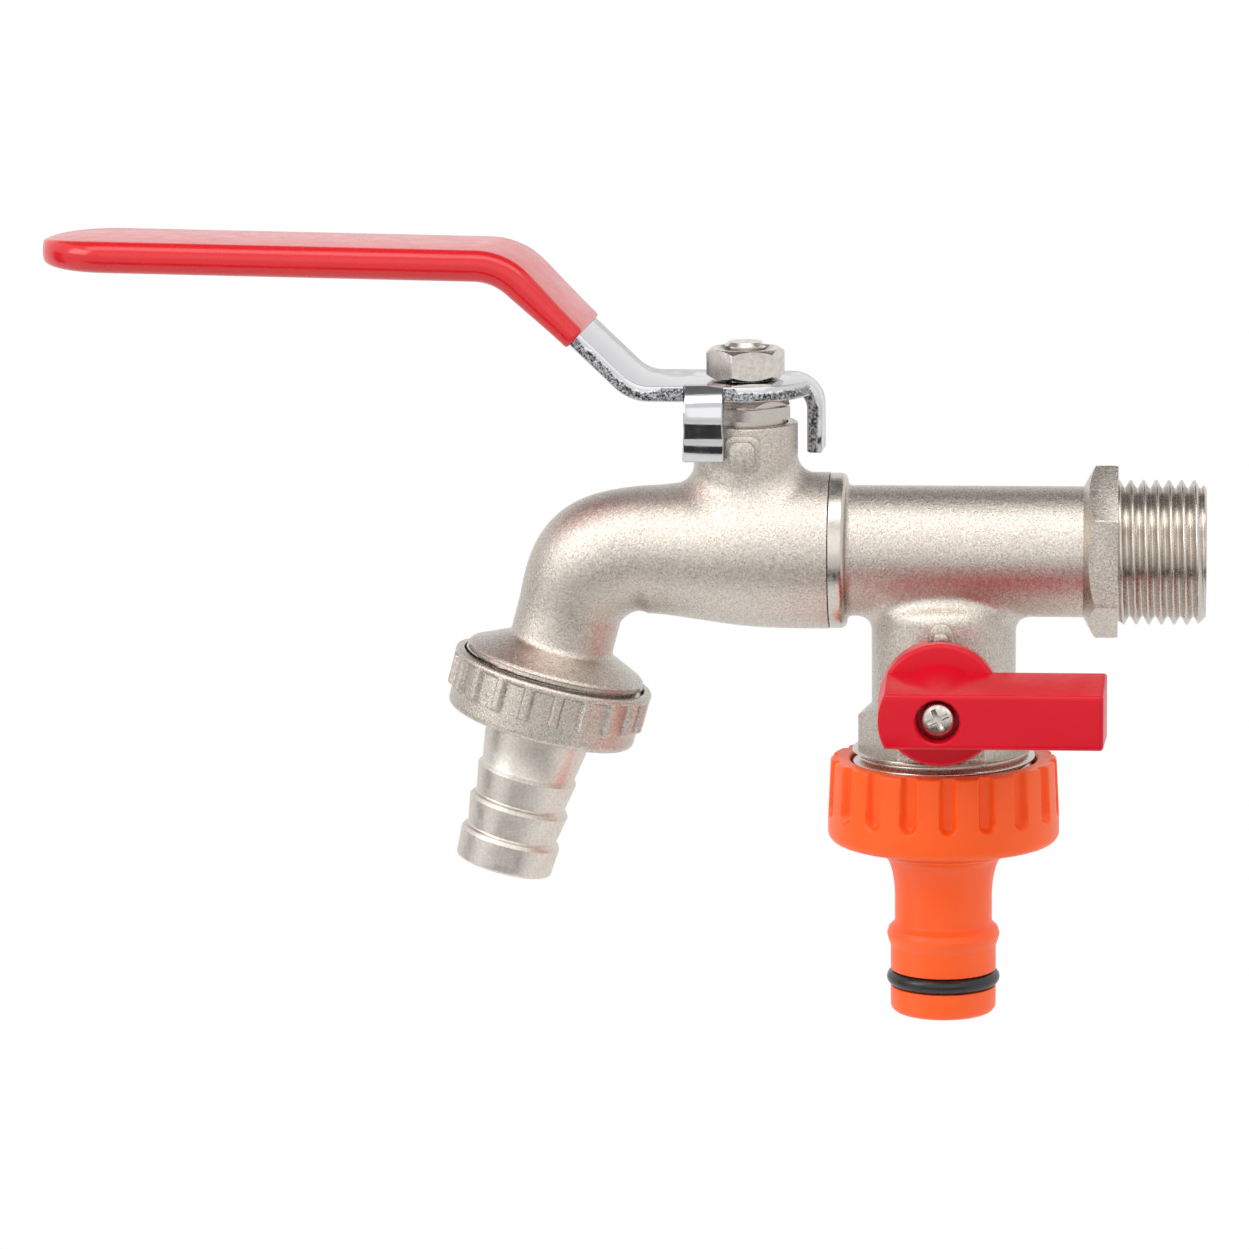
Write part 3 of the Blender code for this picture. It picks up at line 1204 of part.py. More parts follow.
def make_branch_ball(axis):
    made = ball("branch_ball", BRANCH_BALL_D, axis)
    bore = turned("branch_ball_bore", [
        (0.0, BRANCH_BALL_D),
        (BRANCH_BALL_BORE_D / 2, BRANCH_BALL_D),
        (BRANCH_BALL_BORE_D / 2, -BRANCH_BALL_D),
        (0.0, -BRANCH_BALL_D),
    ], SMALL_STEPS, axis, ALONG_X)
    half = BRANCH_SLOT_WIDTH / 2
    slot = box("branch_ball_slot", (-half, -BRANCH_BALL_D, BRANCH_BALL_D / 2 - BRANCH_SLOT_DEPTH),
               (half, BRANCH_BALL_D, BRANCH_BALL_D), axis)
    cut(made, bore, slot)
    return finish(made, BRIGHT_STEEL)


def make_branch_stem(axis):
    radius = BRANCH_STEM_D / 2
    foot = BRANCH_BALL_D / 2 - BRANCH_SLOT_DEPTH + RUN_GAP
    collar_z = BRANCH_BALL_D / 2 + RUN_GAP
    collar_top = collar_z + BRANCH_STEM_COLLAR_HEIGHT
    groove_r = STEM_RING_D / 2 - STEM_RING_WIRE - RUN_GAP / 2
    groove_half = STEM_RING_WIRE / 2 + RUN_GAP / 2
    profile = [
        (0.0, BRANCH_STEM_LENGTH),
        (radius, BRANCH_STEM_LENGTH),
        (radius, STEM_RING_Y + groove_half),
        (groove_r, STEM_RING_Y + groove_half),
        (groove_r, STEM_RING_Y - groove_half),
        (radius, STEM_RING_Y - groove_half),
        (radius, collar_top),
        (BRANCH_STEM_COLLAR_D / 2, collar_top),
        (BRANCH_STEM_COLLAR_D / 2, collar_z),
        (BRANCH_STEM_TANG_LENGTH / 2, collar_z),
        (BRANCH_STEM_TANG_LENGTH / 2, foot),
        (0.0, foot),
    ]
    high = BRANCH_STEM_LENGTH + OVERRUN
    made = flatted("branch_stem", profile, BRANCH_STEM_FLATS, HANDLE_BACK, high, axis)
    reach = BRANCH_STEM_TANG_LENGTH
    for side in (-1, 1):
        near, far = sorted((side * (BRANCH_SLOT_WIDTH / 2 - RUN_GAP), side * reach))
        cut(made, box("branch_tang_side", (near, -reach, foot - OVERRUN), (far, reach, collar_z), axis))
    hole_r = HANDLE_SCREW_D / 2 + RUN_GAP
    hole_foot = HANDLE_RECESS_FLOOR - HANDLE_SCREW_LENGTH - RUN_GAP
    cut(made, turned("branch_stem_hole", [
        (0.0, high), (hole_r, high), (hole_r, hole_foot), (0.0, hole_foot),
    ], FLUTE_STEPS, axis))
    return finish(made, BRASS)


def handle_outline(half_height, reach, left_r):
    """Front view of the handle's bar: its left end follows the disc."""
    lean = math.asin(half_height / left_r)
    left = arc((0.0, 0.0), left_r, math.pi - lean, math.pi + lean, BEND_STEPS)
    return [(reach, -half_height), (reach, half_height)] + left


def make_branch_handle(axis):
    disc_r = HANDLE_DISC_D / 2
    edge = HANDLE_BAR_DRAFT / 2
    made = turned("branch_handle", [
        (0.0, HANDLE_DISC_FACE), (disc_r - edge, HANDLE_DISC_FACE), (disc_r, HANDLE_DISC_FACE - edge),
        (disc_r, HANDLE_BACK), (0.0, HANDLE_BACK),
    ], BODY_STEPS, axis)
    bar_back = HANDLE_DISC_FACE - HANDLE_BAR_DRAFT
    bar_half = HANDLE_BAR_HEIGHT / 2
    back = handle_outline(bar_half + HANDLE_BAR_DRAFT, HANDLE_BAR_REACH + HANDLE_END_DRAFT, disc_r)
    front = handle_outline(bar_half, HANDLE_BAR_REACH, disc_r - HANDLE_END_DRAFT)
    back_ring = [(x, y, bar_back) for x, y in back]
    front_ring = [(x, y, HANDLE_BAR_FACE) for x, y in front]
    bar = loft("handle_bar", [back_ring, front_ring], axis)
    boss_top = HANDLE_BAR_FACE - RUN_GAP
    boss = turned("handle_boss", [
        (0.0, boss_top), (bar_half - RUN_GAP, boss_top), (HANDLE_BOSS_D / 2, bar_back), (0.0, bar_back),
    ], SMALL_STEPS, axis)
    join(made, bar, boss)
    recess_r = HANDLE_RECESS_D / 2
    screw_r = HANDLE_SCREW_D / 2 + RUN_GAP
    recess = turned("handle_recess", [
        (0.0, HANDLE_BAR_FACE + OVERRUN),
        (recess_r, HANDLE_BAR_FACE + OVERRUN),
        (recess_r, HANDLE_RECESS_FLOOR),
        (screw_r, HANDLE_RECESS_FLOOR),
        (screw_r, HANDLE_SOCKET_END - OVERRUN),
        (0.0, HANDLE_SOCKET_END - OVERRUN),
    ], SMALL_STEPS, axis)
    socket_r = BRANCH_STEM_D / 2 + RUN_GAP
    low, high = HANDLE_BACK - OVERRUN, HANDLE_SOCKET_END
    hollow = [(0.0, high), (socket_r, high), (socket_r, low), (0.0, low)]
    flats = BRANCH_STEM_FLATS + 2 * RUN_GAP
    socket = flatted("handle_socket", hollow, flats, low - OVERRUN, high + OVERRUN, axis)
    half = bar_half - HANDLE_POCKET_WALL
    pocket = box("handle_pocket", (disc_r + HANDLE_POCKET_WALL, -half, bar_back - OVERRUN),
                 (HANDLE_BAR_REACH - HANDLE_POCKET_WALL, half, HANDLE_BAR_FACE - HANDLE_POCKET_WALL), axis)
    spare = (STOP_NIB_WIDTH / 2 + 2 * RUN_GAP) / HANDLE_CHANNEL_R
    wide = disc_r + OVERRUN
    sweep = arc((0.0, 0.0), wide, -spare, HANDLE_SWING + spare, 2 * BEND_STEPS)
    sweep += arc((0.0, 0.0), HANDLE_CHANNEL_R, HANDLE_SWING + spare, -spare, 2 * BEND_STEPS)
    depth = HANDLE_CHANNEL_DEPTH + OVERRUN
    middle = Matrix.Translation((0.0, 0.0, low + depth / 2))
    channel = slab("handle_channel", sweep, depth, axis, middle)
    cut(made, recess, socket, pocket, channel)
    return finish(made, HANDLE_RED)


def make_handle_screw(axis):
    head = HANDLE_SCREW_HEAD_D / 2
    floor = HANDLE_RECESS_FLOOR + FACE_GAP
    top = floor + HANDLE_SCREW_HEAD_HEIGHT
    crown = HANDLE_SCREW_HEAD_HEIGHT / 2
    shank = HANDLE_SCREW_D / 2
    foot = HANDLE_RECESS_FLOOR - HANDLE_SCREW_LENGTH
    profile = [(0.0, top)]
    for i in range(1, FILLET_STEPS + 1):
        lean = math.pi / 2 * i / FILLET_STEPS
        profile.append((head * math.sin(lean), floor + crown + crown * math.cos(lean)))
    profile += [(head, floor), (shank, floor), (shank, foot), (0.0, foot)]
    return finish(turned("handle_screw", profile, SMALL_STEPS, axis), BRIGHT_STEEL)


# Adaptor nut, nozzle, washer and O-ring under the branch

def flute_cutter(axis):
    """One cutter for all the flutes of the adaptor nut."""
    depth, half = ADAPTOR_FLUTE_DEPTH, ADAPTOR_FLUTE_WIDTH / 2
    radius = (half ** 2 + depth ** 2) / (2 * depth)
    centre = ADAPTOR_D / 2 + radius - depth
    top = -ADAPTOR_TOP + OVERRUN
    foot = -ADAPTOR_TOP - ADAPTOR_FLUTE_LENGTH
    work = bmesh.new()
    for i in range(ADAPTOR_FLUTES):
        spin = Matrix.Rotation(ADAPTOR_TURN + 2 * math.pi * i / ADAPTOR_FLUTES, 4, 'Z')
        place = spin @ Matrix.Translation((0.0, -centre, (top + foot) / 2))
        bmesh.ops.create_cone(work, cap_ends=True, segments=FLUTE_STEPS, radius1=radius, radius2=radius,
                              depth=top - foot, matrix=place)
    mesh = bpy.data.meshes.new("adaptor_flutes")
    work.to_mesh(mesh)
    work.free()
    return add("adaptor_flutes", mesh, axis)


def make_adaptor_nut(axis):
    outer = ADAPTOR_D / 2
    top = -ADAPTOR_TOP
    foot = top - ADAPTOR_HEIGHT
    edge = ADAPTOR_EDGE
    profile = [(0.0, top)]
    profile += arc((outer - edge, top - edge), edge, math.pi / 2, 0.0, FILLET_STEPS)
    profile += arc((outer - edge, foot + edge), edge, 0.0, -math.pi / 2, FILLET_STEPS)
    profile += [(0.0, foot)]
    made = turned("adaptor_nut", profile, NUT_STEPS, axis)
    hollow_r = NUT_HOLLOW_D / 2
    mouth = NOZZLE_SHOULDER_D / 2 + RUN_GAP
    hollow = turned("adaptor_hollow", [
        (0.0, top + OVERRUN), (hollow_r, top + OVERRUN), (hollow_r, ADAPTOR_LIP_Z), (mouth, ADAPTOR_LIP_Z),
        (mouth, foot - OVERRUN), (0.0, foot - OVERRUN),
    ], BODY_STEPS, axis)
    cut(made, flute_cutter(axis), hollow)
    return finish(made, ORANGE)


def make_adaptor_nozzle(axis):
    flange_foot = ADAPTOR_LIP_Z + FACE_GAP
    flange_top = flange_foot + NOZZLE_FLANGE_HEIGHT
    flange_r = NOZZLE_FLANGE_D / 2
    bore = NOZZLE_BORE_D / 2
    shoulder = NOZZLE_SHOULDER_D / 2
    neck = NOZZLE_NECK_D / 2
    bead = NOZZLE_BEAD_D / 2
    barrel = NOZZLE_BARREL_D / 2
    half_bead = NOZZLE_BEAD_HEIGHT / 2
    groove_r = O_RING_D / 2 - O_RING_WIRE - RUN_GAP / 2
    groove_half = O_RING_WIRE / 2 + RUN_GAP / 2
    bell = NOZZLE_NECK_Z - NOZZLE_SHOULDER_Z
    profile = [(bore, flange_top), (flange_r, flange_top), (flange_r, flange_foot), (shoulder, flange_foot)]
    for i in range(FILLET_STEPS + 1):
        lean = math.pi / 2 * i / FILLET_STEPS
        spread = (shoulder - neck) * (1 - math.sin(lean))
        profile.append((neck + spread, -NOZZLE_SHOULDER_Z - bell * (1 - math.cos(lean))))
    profile.append((neck, -NOZZLE_BEAD_Z + half_bead))
    for i in range(1, BEAD_STEPS - 2):
        lean = math.pi * i / BEAD_STEPS
        profile.append((neck + (bead - neck) * math.sin(lean), -NOZZLE_BEAD_Z + half_bead * math.cos(lean)))
    profile += [
        (barrel, -NOZZLE_BEAD_Z - half_bead),
        (barrel, -O_RING_Z + groove_half),
        (groove_r, -O_RING_Z + groove_half),
        (groove_r, -O_RING_Z - groove_half),
        (barrel, -O_RING_Z - groove_half),
    ]
    end_centre = (barrel - NOZZLE_END_ROUND, -NOZZLE_END_Z + NOZZLE_END_ROUND)
    profile += arc(end_centre, NOZZLE_END_ROUND, 0.0, -math.pi / 2, FILLET_STEPS)
    profile.append((bore, -NOZZLE_END_Z))
    return finish(turned("adaptor_nozzle", profile, BODY_STEPS, axis, closed=True), ORANGE)


def make_adaptor_washer(axis):
    low = ADAPTOR_LIP_Z + NOZZLE_FLANGE_HEIGHT + 2 * FACE_GAP
    high = low + ADAPTOR_WASHER_HEIGHT
    outer = NOZZLE_FLANGE_D - 2 * WASHER_INSET
    ring("adaptor_washer", outer, NOZZLE_BORE_D, low, high, BLACK_RUBBER, axis, BODY_STEPS)


def build():
    lever_axis = new_axis("lever_axis", (STEM_X, 0.0, 0.0), (0.0, 0.0, LEVER_OPEN_TURN))
    spout_axis = new_axis("spout_outlet_axis", (CORNER_X, 0.0, 0.0), (0.0, OUTLET_TILT, 0.0))
    handle_axis = new_axis("branch_stem_axis", (-BRANCH_X, 0.0, -BRANCH_STEM_Z), (math.pi / 2, 0.0, 0.0))
    branch_axis = new_axis("branch_outlet_axis", (-BRANCH_X, 0.0, 0.0))
    make_inlet_body()
    make_spout_body(spout_axis)
    make_main_seats()
    make_main_ball(lever_axis)
    make_main_stem(lever_axis)
    make_stem_seals()
    make_gland_nut()
    make_lever_arm(lever_axis)
    make_lever_sleeve(lever_axis)
    make_lever_nut(lever_axis)
    make_union_nut(spout_axis)
    make_hose_tail(spout_axis)
    make_tail_washer(spout_axis)
    make_branch_seats()
    make_branch_retainer()
    make_branch_ball(handle_axis)
    make_branch_stem(handle_axis)
    ring_seal("branch_stem_o_ring", STEM_RING_WIRE, STEM_RING_D, STEM_RING_Y, BLACK_RUBBER, handle_axis)
    make_branch_handle(handle_axis)
    make_handle_screw(handle_axis)
    make_adaptor_nut(branch_axis)
    make_adaptor_nozzle(branch_axis)
    make_adaptor_washer(branch_axis)
    ring_seal("adaptor_o_ring", O_RING_WIRE, O_RING_D, -O_RING_Z, BLACK_RUBBER, branch_axis)


build()
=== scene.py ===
"""Looks of the double outlet garden tap: castings, threads, moulded and dipped pieces.

Lengths are in millimetres in the row frame, and MM turns them into Blender's metres. Round
pieces are made about a local Z axis and then set in place by one of the AT_ matrices.
"""
import json
import math

import bmesh
import bpy
from mathutils import Matrix, Vector


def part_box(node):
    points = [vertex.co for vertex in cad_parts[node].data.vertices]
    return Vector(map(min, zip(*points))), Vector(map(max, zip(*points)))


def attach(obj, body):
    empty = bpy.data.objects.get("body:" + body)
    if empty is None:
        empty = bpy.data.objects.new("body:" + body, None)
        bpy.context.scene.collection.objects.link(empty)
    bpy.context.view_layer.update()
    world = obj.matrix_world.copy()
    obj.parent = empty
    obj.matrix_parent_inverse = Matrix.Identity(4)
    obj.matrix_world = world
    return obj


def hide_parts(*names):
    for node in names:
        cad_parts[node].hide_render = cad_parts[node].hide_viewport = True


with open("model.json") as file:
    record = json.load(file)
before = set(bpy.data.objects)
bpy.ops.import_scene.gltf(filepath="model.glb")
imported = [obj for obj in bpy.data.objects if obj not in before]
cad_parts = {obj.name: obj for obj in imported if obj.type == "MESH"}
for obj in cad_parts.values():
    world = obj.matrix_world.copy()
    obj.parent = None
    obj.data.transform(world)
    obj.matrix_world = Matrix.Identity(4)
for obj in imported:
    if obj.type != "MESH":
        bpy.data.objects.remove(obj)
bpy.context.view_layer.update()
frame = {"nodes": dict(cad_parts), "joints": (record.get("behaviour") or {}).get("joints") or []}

MM = 0.001
TINY = 1e-6

# Cutting and fits: cutters overrun a surface, and joined shapes sink a little into each other
OVERRUN = 1.0
LEAD = 1.0
WELD = 0.002
FOOT_SINK = 0.05
RUN_GAP = 0.25
BEARING_GAP = 0.22

# Fineness: sides of a full turn, then steps of a corner or a bend
FINE = 128
ROUND = 96
SMALL = 48
CORNER_STEPS = 4
EDGE_STEPS = 6
ADAPTOR_STEPS = 7
CASTING_STEPS = 8
LUG_STEPS = 16
BODY_STEPS = 36
BEND_STEPS = 20
FLUTED_STEPS = 540


def joint(name):
    """A joint of the frame."""
    return next(j for j in frame["joints"] if j["name"] == name)


def node_box(name):
    """Lowest and highest corner of a CAD node, in millimetres."""
    low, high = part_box(name)
    return low / MM, high / MM


# Axes and places, from the frame
STEM_X = joint("lever_turn")["pos_m"][0] / MM
LEVER_TURN = -math.radians(joint("lever_turn")["range_deg"][1])
BRANCH_X = joint("branch_turn")["pos_m"][0] / MM
BRANCH_STEM_Z = joint("branch_turn")["pos_m"][2] / MM
OUTLET_DOWN = Vector(joint("tail_slide")["axis"])
OUTLET_TILT = math.atan2(-OUTLET_DOWN.x, -OUTLET_DOWN.z)
ON_OUTLET = Vector(joint("tail_nut_turn")["pos_m"]) / MM
CORNER_X = ON_OUTLET.x - OUTLET_DOWN.x * ON_OUTLET.z / OUTLET_DOWN.z
THREAD_END_X = node_box("inlet_body")[1].x
JOINT_X = node_box("spout_body")[1].x

AT_INLET = Matrix.Rotation(math.pi / 2, 4, 'Y')
AT_STEM = Matrix.Translation((STEM_X, 0, 0))
AT_LEVER = AT_STEM @ Matrix.Rotation(LEVER_TURN, 4, 'Z')
AT_BRANCH = Matrix.Translation((BRANCH_X, 0, 0))
AT_HANDLE = Matrix.Translation((BRANCH_X, 0, BRANCH_STEM_Z)) @ Matrix.Rotation(math.pi / 2, 4, 'X')
AT_OUTLET = Matrix.Translation((CORNER_X, 0, 0)) @ Matrix.Rotation(OUTLET_TILT, 4, 'Y')
UPRIGHT = Matrix.Rotation(math.pi / 2, 4, 'X')

# Threads, each cut into a ring of its own that lines the outside of a casting
PITCH = 1.814
THREAD_DEPTH = 1.16
THREAD_ROWS = 16
OUTLET_THREAD_R = 13.22
INLET_THREAD_R = 10.4
CREST_SHARE = 0.14
THREAD_FADE = 1.6
THREAD_START_X = -0.55
NO_FADE = 0.01
LINER_GAP = 0.02
THREAD_REACH = 1.02

# Pockets pressed into nuts: the shift is half a pocket and many whole ones
POCKET_REACH = 1.5
POCKET_SHIFT = 1000.5

# Inlet casting
TUBE_R = 9.42
INLET_BORE_R = 7.3
HEX_AF = 21.8
HEX_LENGTH = 4.95
HEX_LAND = 3.2
HEX_CORNER_R = 0.3
HEX_RIM = 0.12
HEX_EDGE = 0.25
HEX_EDGE_RUN = 0.6
BARREL_START = 0.6
COLLAR_R = 11.2
COLLAR_LENGTH = 2.5
COLLAR_ROUND = 0.9
COLLAR_FOOT_R = 0.8
SPIGOT_BORE_R = 5.3
SEAM_GAP = 0.11
SEAM_EDGE = 0.12
BORE_CONE = (5.0, 2.5)
TURNED_EDGE = 0.1

# Branch of the inlet casting
BRANCH_R = 10.4
BRANCH_BLEND = 2.4
BRANCH_DOME_FLAT = 4.0
BRANCH_DOME_TOP = -6.0
BRANCH_DOME_FOOT = -9.0
BRANCH_FOOT_END = -13.5
BLEND_ROWS = 22
SINK = 0.04
KNEE_DROP = 0.5
BURIED_SHARE = (0.5, 0.5, 0.6)
FIELD_STEP = 0.002
LEAST_SLOPE = 0.05
HALVINGS = 30
BRANCH_HEX_AF = 21.5
BRANCH_HEX_TOP = -22.3
BRANCH_HEX_CHAMFER = 1.9
BRANCH_HEX_SINK = 0.5
BRANCH_COLLAR = -28.7
BRANCH_END = -37.0
BRANCH_THREAD_EDGE = 0.3
BRANCH_CAVITY_R = 8.0
BRANCH_PASSAGE_R = 4.0
BRANCH_CAVITY_TOP = -12.73
BOSS_R = 6.2
BOSS_FACE = 11.2
BOSS_EDGE = 0.3
STOP_ROOT = 8.0
STOP_EDGE = 0.3
STOP_HALF = 1.7
STOP_TOP = 10.85
STOP_FACE = 11.3
NIB_HALF = 1.0
NIB_TOP = 9.8
NIB_FOOT = 7.5
NIB_FACE = 13.3
NIB_CORNER = 0.6
NIB_EDGE = 0.2
STEM_HOLE_R = 2.75
STEM_COLLAR_HOLE_R = 3.85
STEM_COLLAR_HOLE_TOP = 8.37

# Spout casting
BODY_R = 11.3
THROAT_R = 7.55
BEND_R = 11.8
BEND_SWING = math.pi / 2 - OUTLET_TILT
BEND_X = CORNER_X + BEND_R * math.tan(BEND_SWING / 2)
BEND_EASE = 0.12
BEND_TUBE_R = 9.25
BEND_SWELL = 0.6
TAPER = (
    (0.0, 1.0), (0.18, 1.0), (0.31, 0.97), (0.43, 0.89), (0.56, 0.72), (0.66, 0.53),
    (0.77, 0.33), (0.87, 0.14), (0.94, 0.04), (1.0, 0.0),
)
CAVITY_R = 8.9
CAVITY_END = 8.27
WATERWAY_R = 5.3
SPOUT_FACE_GAP = 0.005
THROAT_END = 15.0
NECK_R = 7.5
NECK_TOP = 18.75
NECK_FILLET_R = 2.6
NECK_EDGE = 0.35
NECK_SINK = 0.03
NECK_ROOT = 1.5
LUG_HALF = 1.8
LUG_TOP = 17.0
LUG_LOW = 13.1
LUG_FACE = 9.35
LUG_ROOT = 5.5
LUG_CORNER = LUG_HALF * 0.7
LUG_EDGE = 0.13
PAD_MARGIN = 0.7
PAD_FACE = 7.85
PAD_CORNER = 1.3
PAD_EDGE = 0.14
DOME_ROOT = 11.5
DOME_START = 14.3
DOME_END = 17.4
DOME_EDGE = 0.55
DOME_GROOVE = 0.5
DOME_GROOVE_DEPTH = 0.7
DOME_FILLET_R = 1.3
DOME_SHOULDER_R = 0.8
DOME_RIM_R = 0.25
OUTLET_RING_WALL = 4.0
OUTLET_THREAD_EDGE = 0.1
SPOUT_END = 21.2
STEM_BORE_R = (6.15, 3.65, 4.65)
STEM_BORE_LEDGES = (12.6, 11.0)

# Stem and nuts, by their heights above the inlet axis
GLAND_AF = 12.0
GLAND_TURN = math.radians(10.7)
GLAND_LOW = 19.5
GLAND_TOP = 22.35
GLAND_GROOVE_Z = 21.2
GLAND_GROOVE = 0.32
GLAND_GROOVE_DEPTH = 0.6
GLAND_RIM = 0.15
GLAND_LEAN = 1.05
GLAND_SPIGOT_R = 5.9
GLAND_SPIGOT_FOOT = 15.6
GLAND_BORE_FOOT = 14.0
NUT_AF = 10.0
NUT_TURN = math.radians(-15.0)
NUT_HEIGHT = 4.3
NUT_CHAMFER = 0.55
NUT_RIM = 0.1
NUT_FIT = 0.2
NUT_MOUTH = 1.2
NUT_MOUTH_DEPTH = 0.9
STEM_R = 3.4
STEM_TOP_R = 2.95
STEM_TOP = 30.35
STEM_FLATS = 5.2
FLATS_LOW = 22.5
FLATS_TOP = 25.15
STEM_TOP_EDGE = 0.5
STEM_END_FLAT = 2.3
STEM_END_CUT = 0.75
STEM_SHOULDER = 24.7
STEM_COLLAR_R = 4.4
STEM_COLLAR_TOP = 9.9
STEM_COLLAR_FOOT = 8.45
STEM_FOOT_R = 3.5
STEM_FOOT = 6.55
TANG_HALF = 1.1
CUT_HALF = 9.0
CUT_DEPTH = 5.0

# Lever
PLATE_LOW = 22.75
STRIP = 2.2
STRIP_HALF = 9.2
RISE_X = 15.4
RISE_ANGLE = math.radians(43.5)
LIFT = 18.05
GRIP_SLOPE = math.radians(0.9)
LEVER_REACH = 102.3
FOOT_BEND_R = 6.0
TOP_BEND_R = 9.0
STRIP_EDGE = 0.22
PLATE_END_HALF = 0.3
WIDEST_CORNER = 0.9
SLEEVE_START = 11.0
SLEEVE_HALF = 10.3
SLEEVE_MOUTH = 3.5
SLEEVE_THICK = 4.6
SLEEVE_SWELL = 14.0
SLEEVE_WALL = 1.1
SLEEVE_FIT = 0.2
SLEEVE_CORNER = 0.94
SLEEVE_STEPS = 70
SLEEVE_TIP_STEPS = 16
SLEEVE_SIDES = 64
SLEEVE_SPAN = (10.0, 60.0)
RIM_LENGTH = 0.35
RIM_RUN = 0.6
RIM_DROP = 0.3
RIM_STEPS = 3
TIP_END = 0.0008
TIP_FULLNESS = 0.8
TIP_LEAST = 0.4
TAB_BEND_R = 2.4
TAB_STEP = 3.0
TAB_FLARE = 0.7
TAB_PAD = 0.2
TAB_GAP = 0.1
TAB_ROOT = 1.5
TAB_BEND_STEPS = 14
TAB_ROWS = 16
TAB_WAIST = 0.52
FLARE_ROWS = 8
TAB_THINNING = 0.01
TAB_EASE = 0.25
FRONT_TAB_KICK = -0.46
FRONT_TAB = (-7.9, -2.3)
FRONT_TAB_FACE = 10.5
FRONT_TAB_END = 14.2
REAR_TAB = (2.4, 8.2)
REAR_TAB_FACE = 10.8
REAR_TAB_END = 13.9

# Branch handle
DISC_R = 8.85
DISC_BACK = 11.5
DISC_FACE = 16.5
DISC_ROUND = 0.6
DISC_BACK_EDGE = 0.2
DISC_ARC_STEPS = 24
BAR_FACE = 28.7
BAR_HALF = 3.9
BAR_DRAFT = 0.85
BAR_REACH = 23.2
BAR_END_DRAFT = 0.45
BAR_INSET = 0.02
BAR_CORNER = 0.5
BAR_WALL = 1.4
HANDLE_EDGE = 0.5
HANDLE_BOSS_R = 6.0
HANDLE_BOSS_DROP = 0.3
RECESS_R = 3.1
RECESS_FLOOR = 24.3
RECESS_FLARE = 0.3
RECESS_RIM = 0.25
RECESS_TAPER = 0.1
SOCKET_END = 22.1
SOCKET_R = 2.75
CHANNEL_R = 7.1
CHANNEL_DEPTH = 2.5
CHANNEL_SPARE = 0.5
CHANNEL_STEPS = 40
SCREW_HEAD_R = 2.35
SCREW_HEAD_HEIGHT = 2.5
SCREW_R = 1.2
SCREW_FOOT = 17.3
SCREW_EDGE = 0.1
SCREW_ROUND = 0.05
CROWN_SHARE = 0.16
CROWN_STEPS = 10
CROSS_TURN = 25
CROSS_REACH = 1.6
CROSS_HALF = 0.34
CROSS_DEPTH = 1.3

# Union nut and hose tail, down the outlet axis
UNION_TOP = 18.3
UNION_FOOT = 26.8
UNION_R = 14.65
UNION_BAND_R = 13.85
UNION_LEDGE = 23.7
UNION_LIP = 25.1
UNION_RIDGES = 20
UNION_TURN = math.radians(9.6)
UNION_POCKET_SHARE = 0.8
UNION_RIM = 0.7
UNION_BORE_R = 13.5
UNION_ROUND = 0.5
UNION_EDGE = 0.25
UNION_LEDGE_DROP = 0.35
UNION_FOOT_R = 0.9
UNION_MOUTH_EDGE = 0.3
UNION_RUNOUT = 1.5
UNION_GRID = 0.18
TAIL_FLANGE_R = 11.8
TAIL_FLANGE_TOP = 23.08
TAIL_FLANGE_FOOT = 24.88
TAIL_R = 7.55
TAIL_BARB_R = 7.35
TAIL_WAIST_R = 6.6
TAIL_NECK_R = 6.9
TAIL_NECK_END = 29.6
TAIL_TIP_R = (7.13, 7.1)
TAIL_TIP_ROUND = 0.9
TAIL_MOUTH_EDGE = 0.4
BARB_RAMP = 0.75
BARB_DROP = 0.32
BARB_RISE = 0.5
BARB_ROUND = 0.3
BARB_EDGE = 0.15
WAIST_RISE = 0.8
WAIST_ROUND = 0.35
TAIL_FIRST_BARB = 34.3
TAIL_STEP = 4.95
TAIL_BARBS = 3
TAIL_END = 48.4
TAIL_BORE_R = 5.2

# Adaptor, down from the inlet axis
ADAPTOR_TOP = -30.3
ADAPTOR_FOOT = -42.4
ADAPTOR_R = 16.75
ADAPTOR_LIP = -40.8
ADAPTOR_FLUTES = 18
ADAPTOR_TURN = math.radians(4.0)
FLUTE_HALF = 1.5
FLUTE_DEPTH = 1.3
FLUTE_TOP = -28.0
ADAPTOR_TAPER = 0.4
FLUTE_FOOT = -38.6
FLUTE_SOFTNESS = 0.8
ADAPTOR_FIT = 0.27
ADAPTOR_EDGE = 0.4
ADAPTOR_RIM_R = 0.45
ADAPTOR_BEND_R = 0.6
ADAPTOR_FOOT_R = 1.4
ADAPTOR_GRID = 0.22
NOZZLE_FLANGE_R = 12.3
NOZZLE_FLANGE = (-39.08, -40.58)
NOZZLE_SHOULDER_R = 9.6
NOZZLE_SHOULDER = -44.2
SHOULDER_EDGE = 0.5
SHOULDER_ROUND = 0.45
SHOULDER_FALL = (0.2, 0.3)
BELL_STEPS = 12
NOZZLE_NECK_R = 7.05
NOZZLE_NECK = -50.6
NOZZLE_BEAD_R = 8.2
NOZZLE_BEAD = -56.3
NOZZLE_BEAD_HALF = 1.7
BEAD_SHARE = (0.75, 0.8)
BEAD_FLANK = 0.9
BEAD_FOOT_R = 0.5
BEAD_CREST_R = 0.8
BARREL_TOP_R = 0.4
NOZZLE_BARREL_R = 7.65
NOZZLE_END = -67.9
NOZZLE_BORE_R = 4.6
NOZZLE_END_R = 1.2
NOZZLE_MOUTH_EDGE = 0.3
RING_Z = -62.8
RING_WIRE_R = 1.1
RING_R = 8.2
RING_SIDES = 28
GROOVE_DEPTH = 2.3
GROOVE_HALF = 1.2
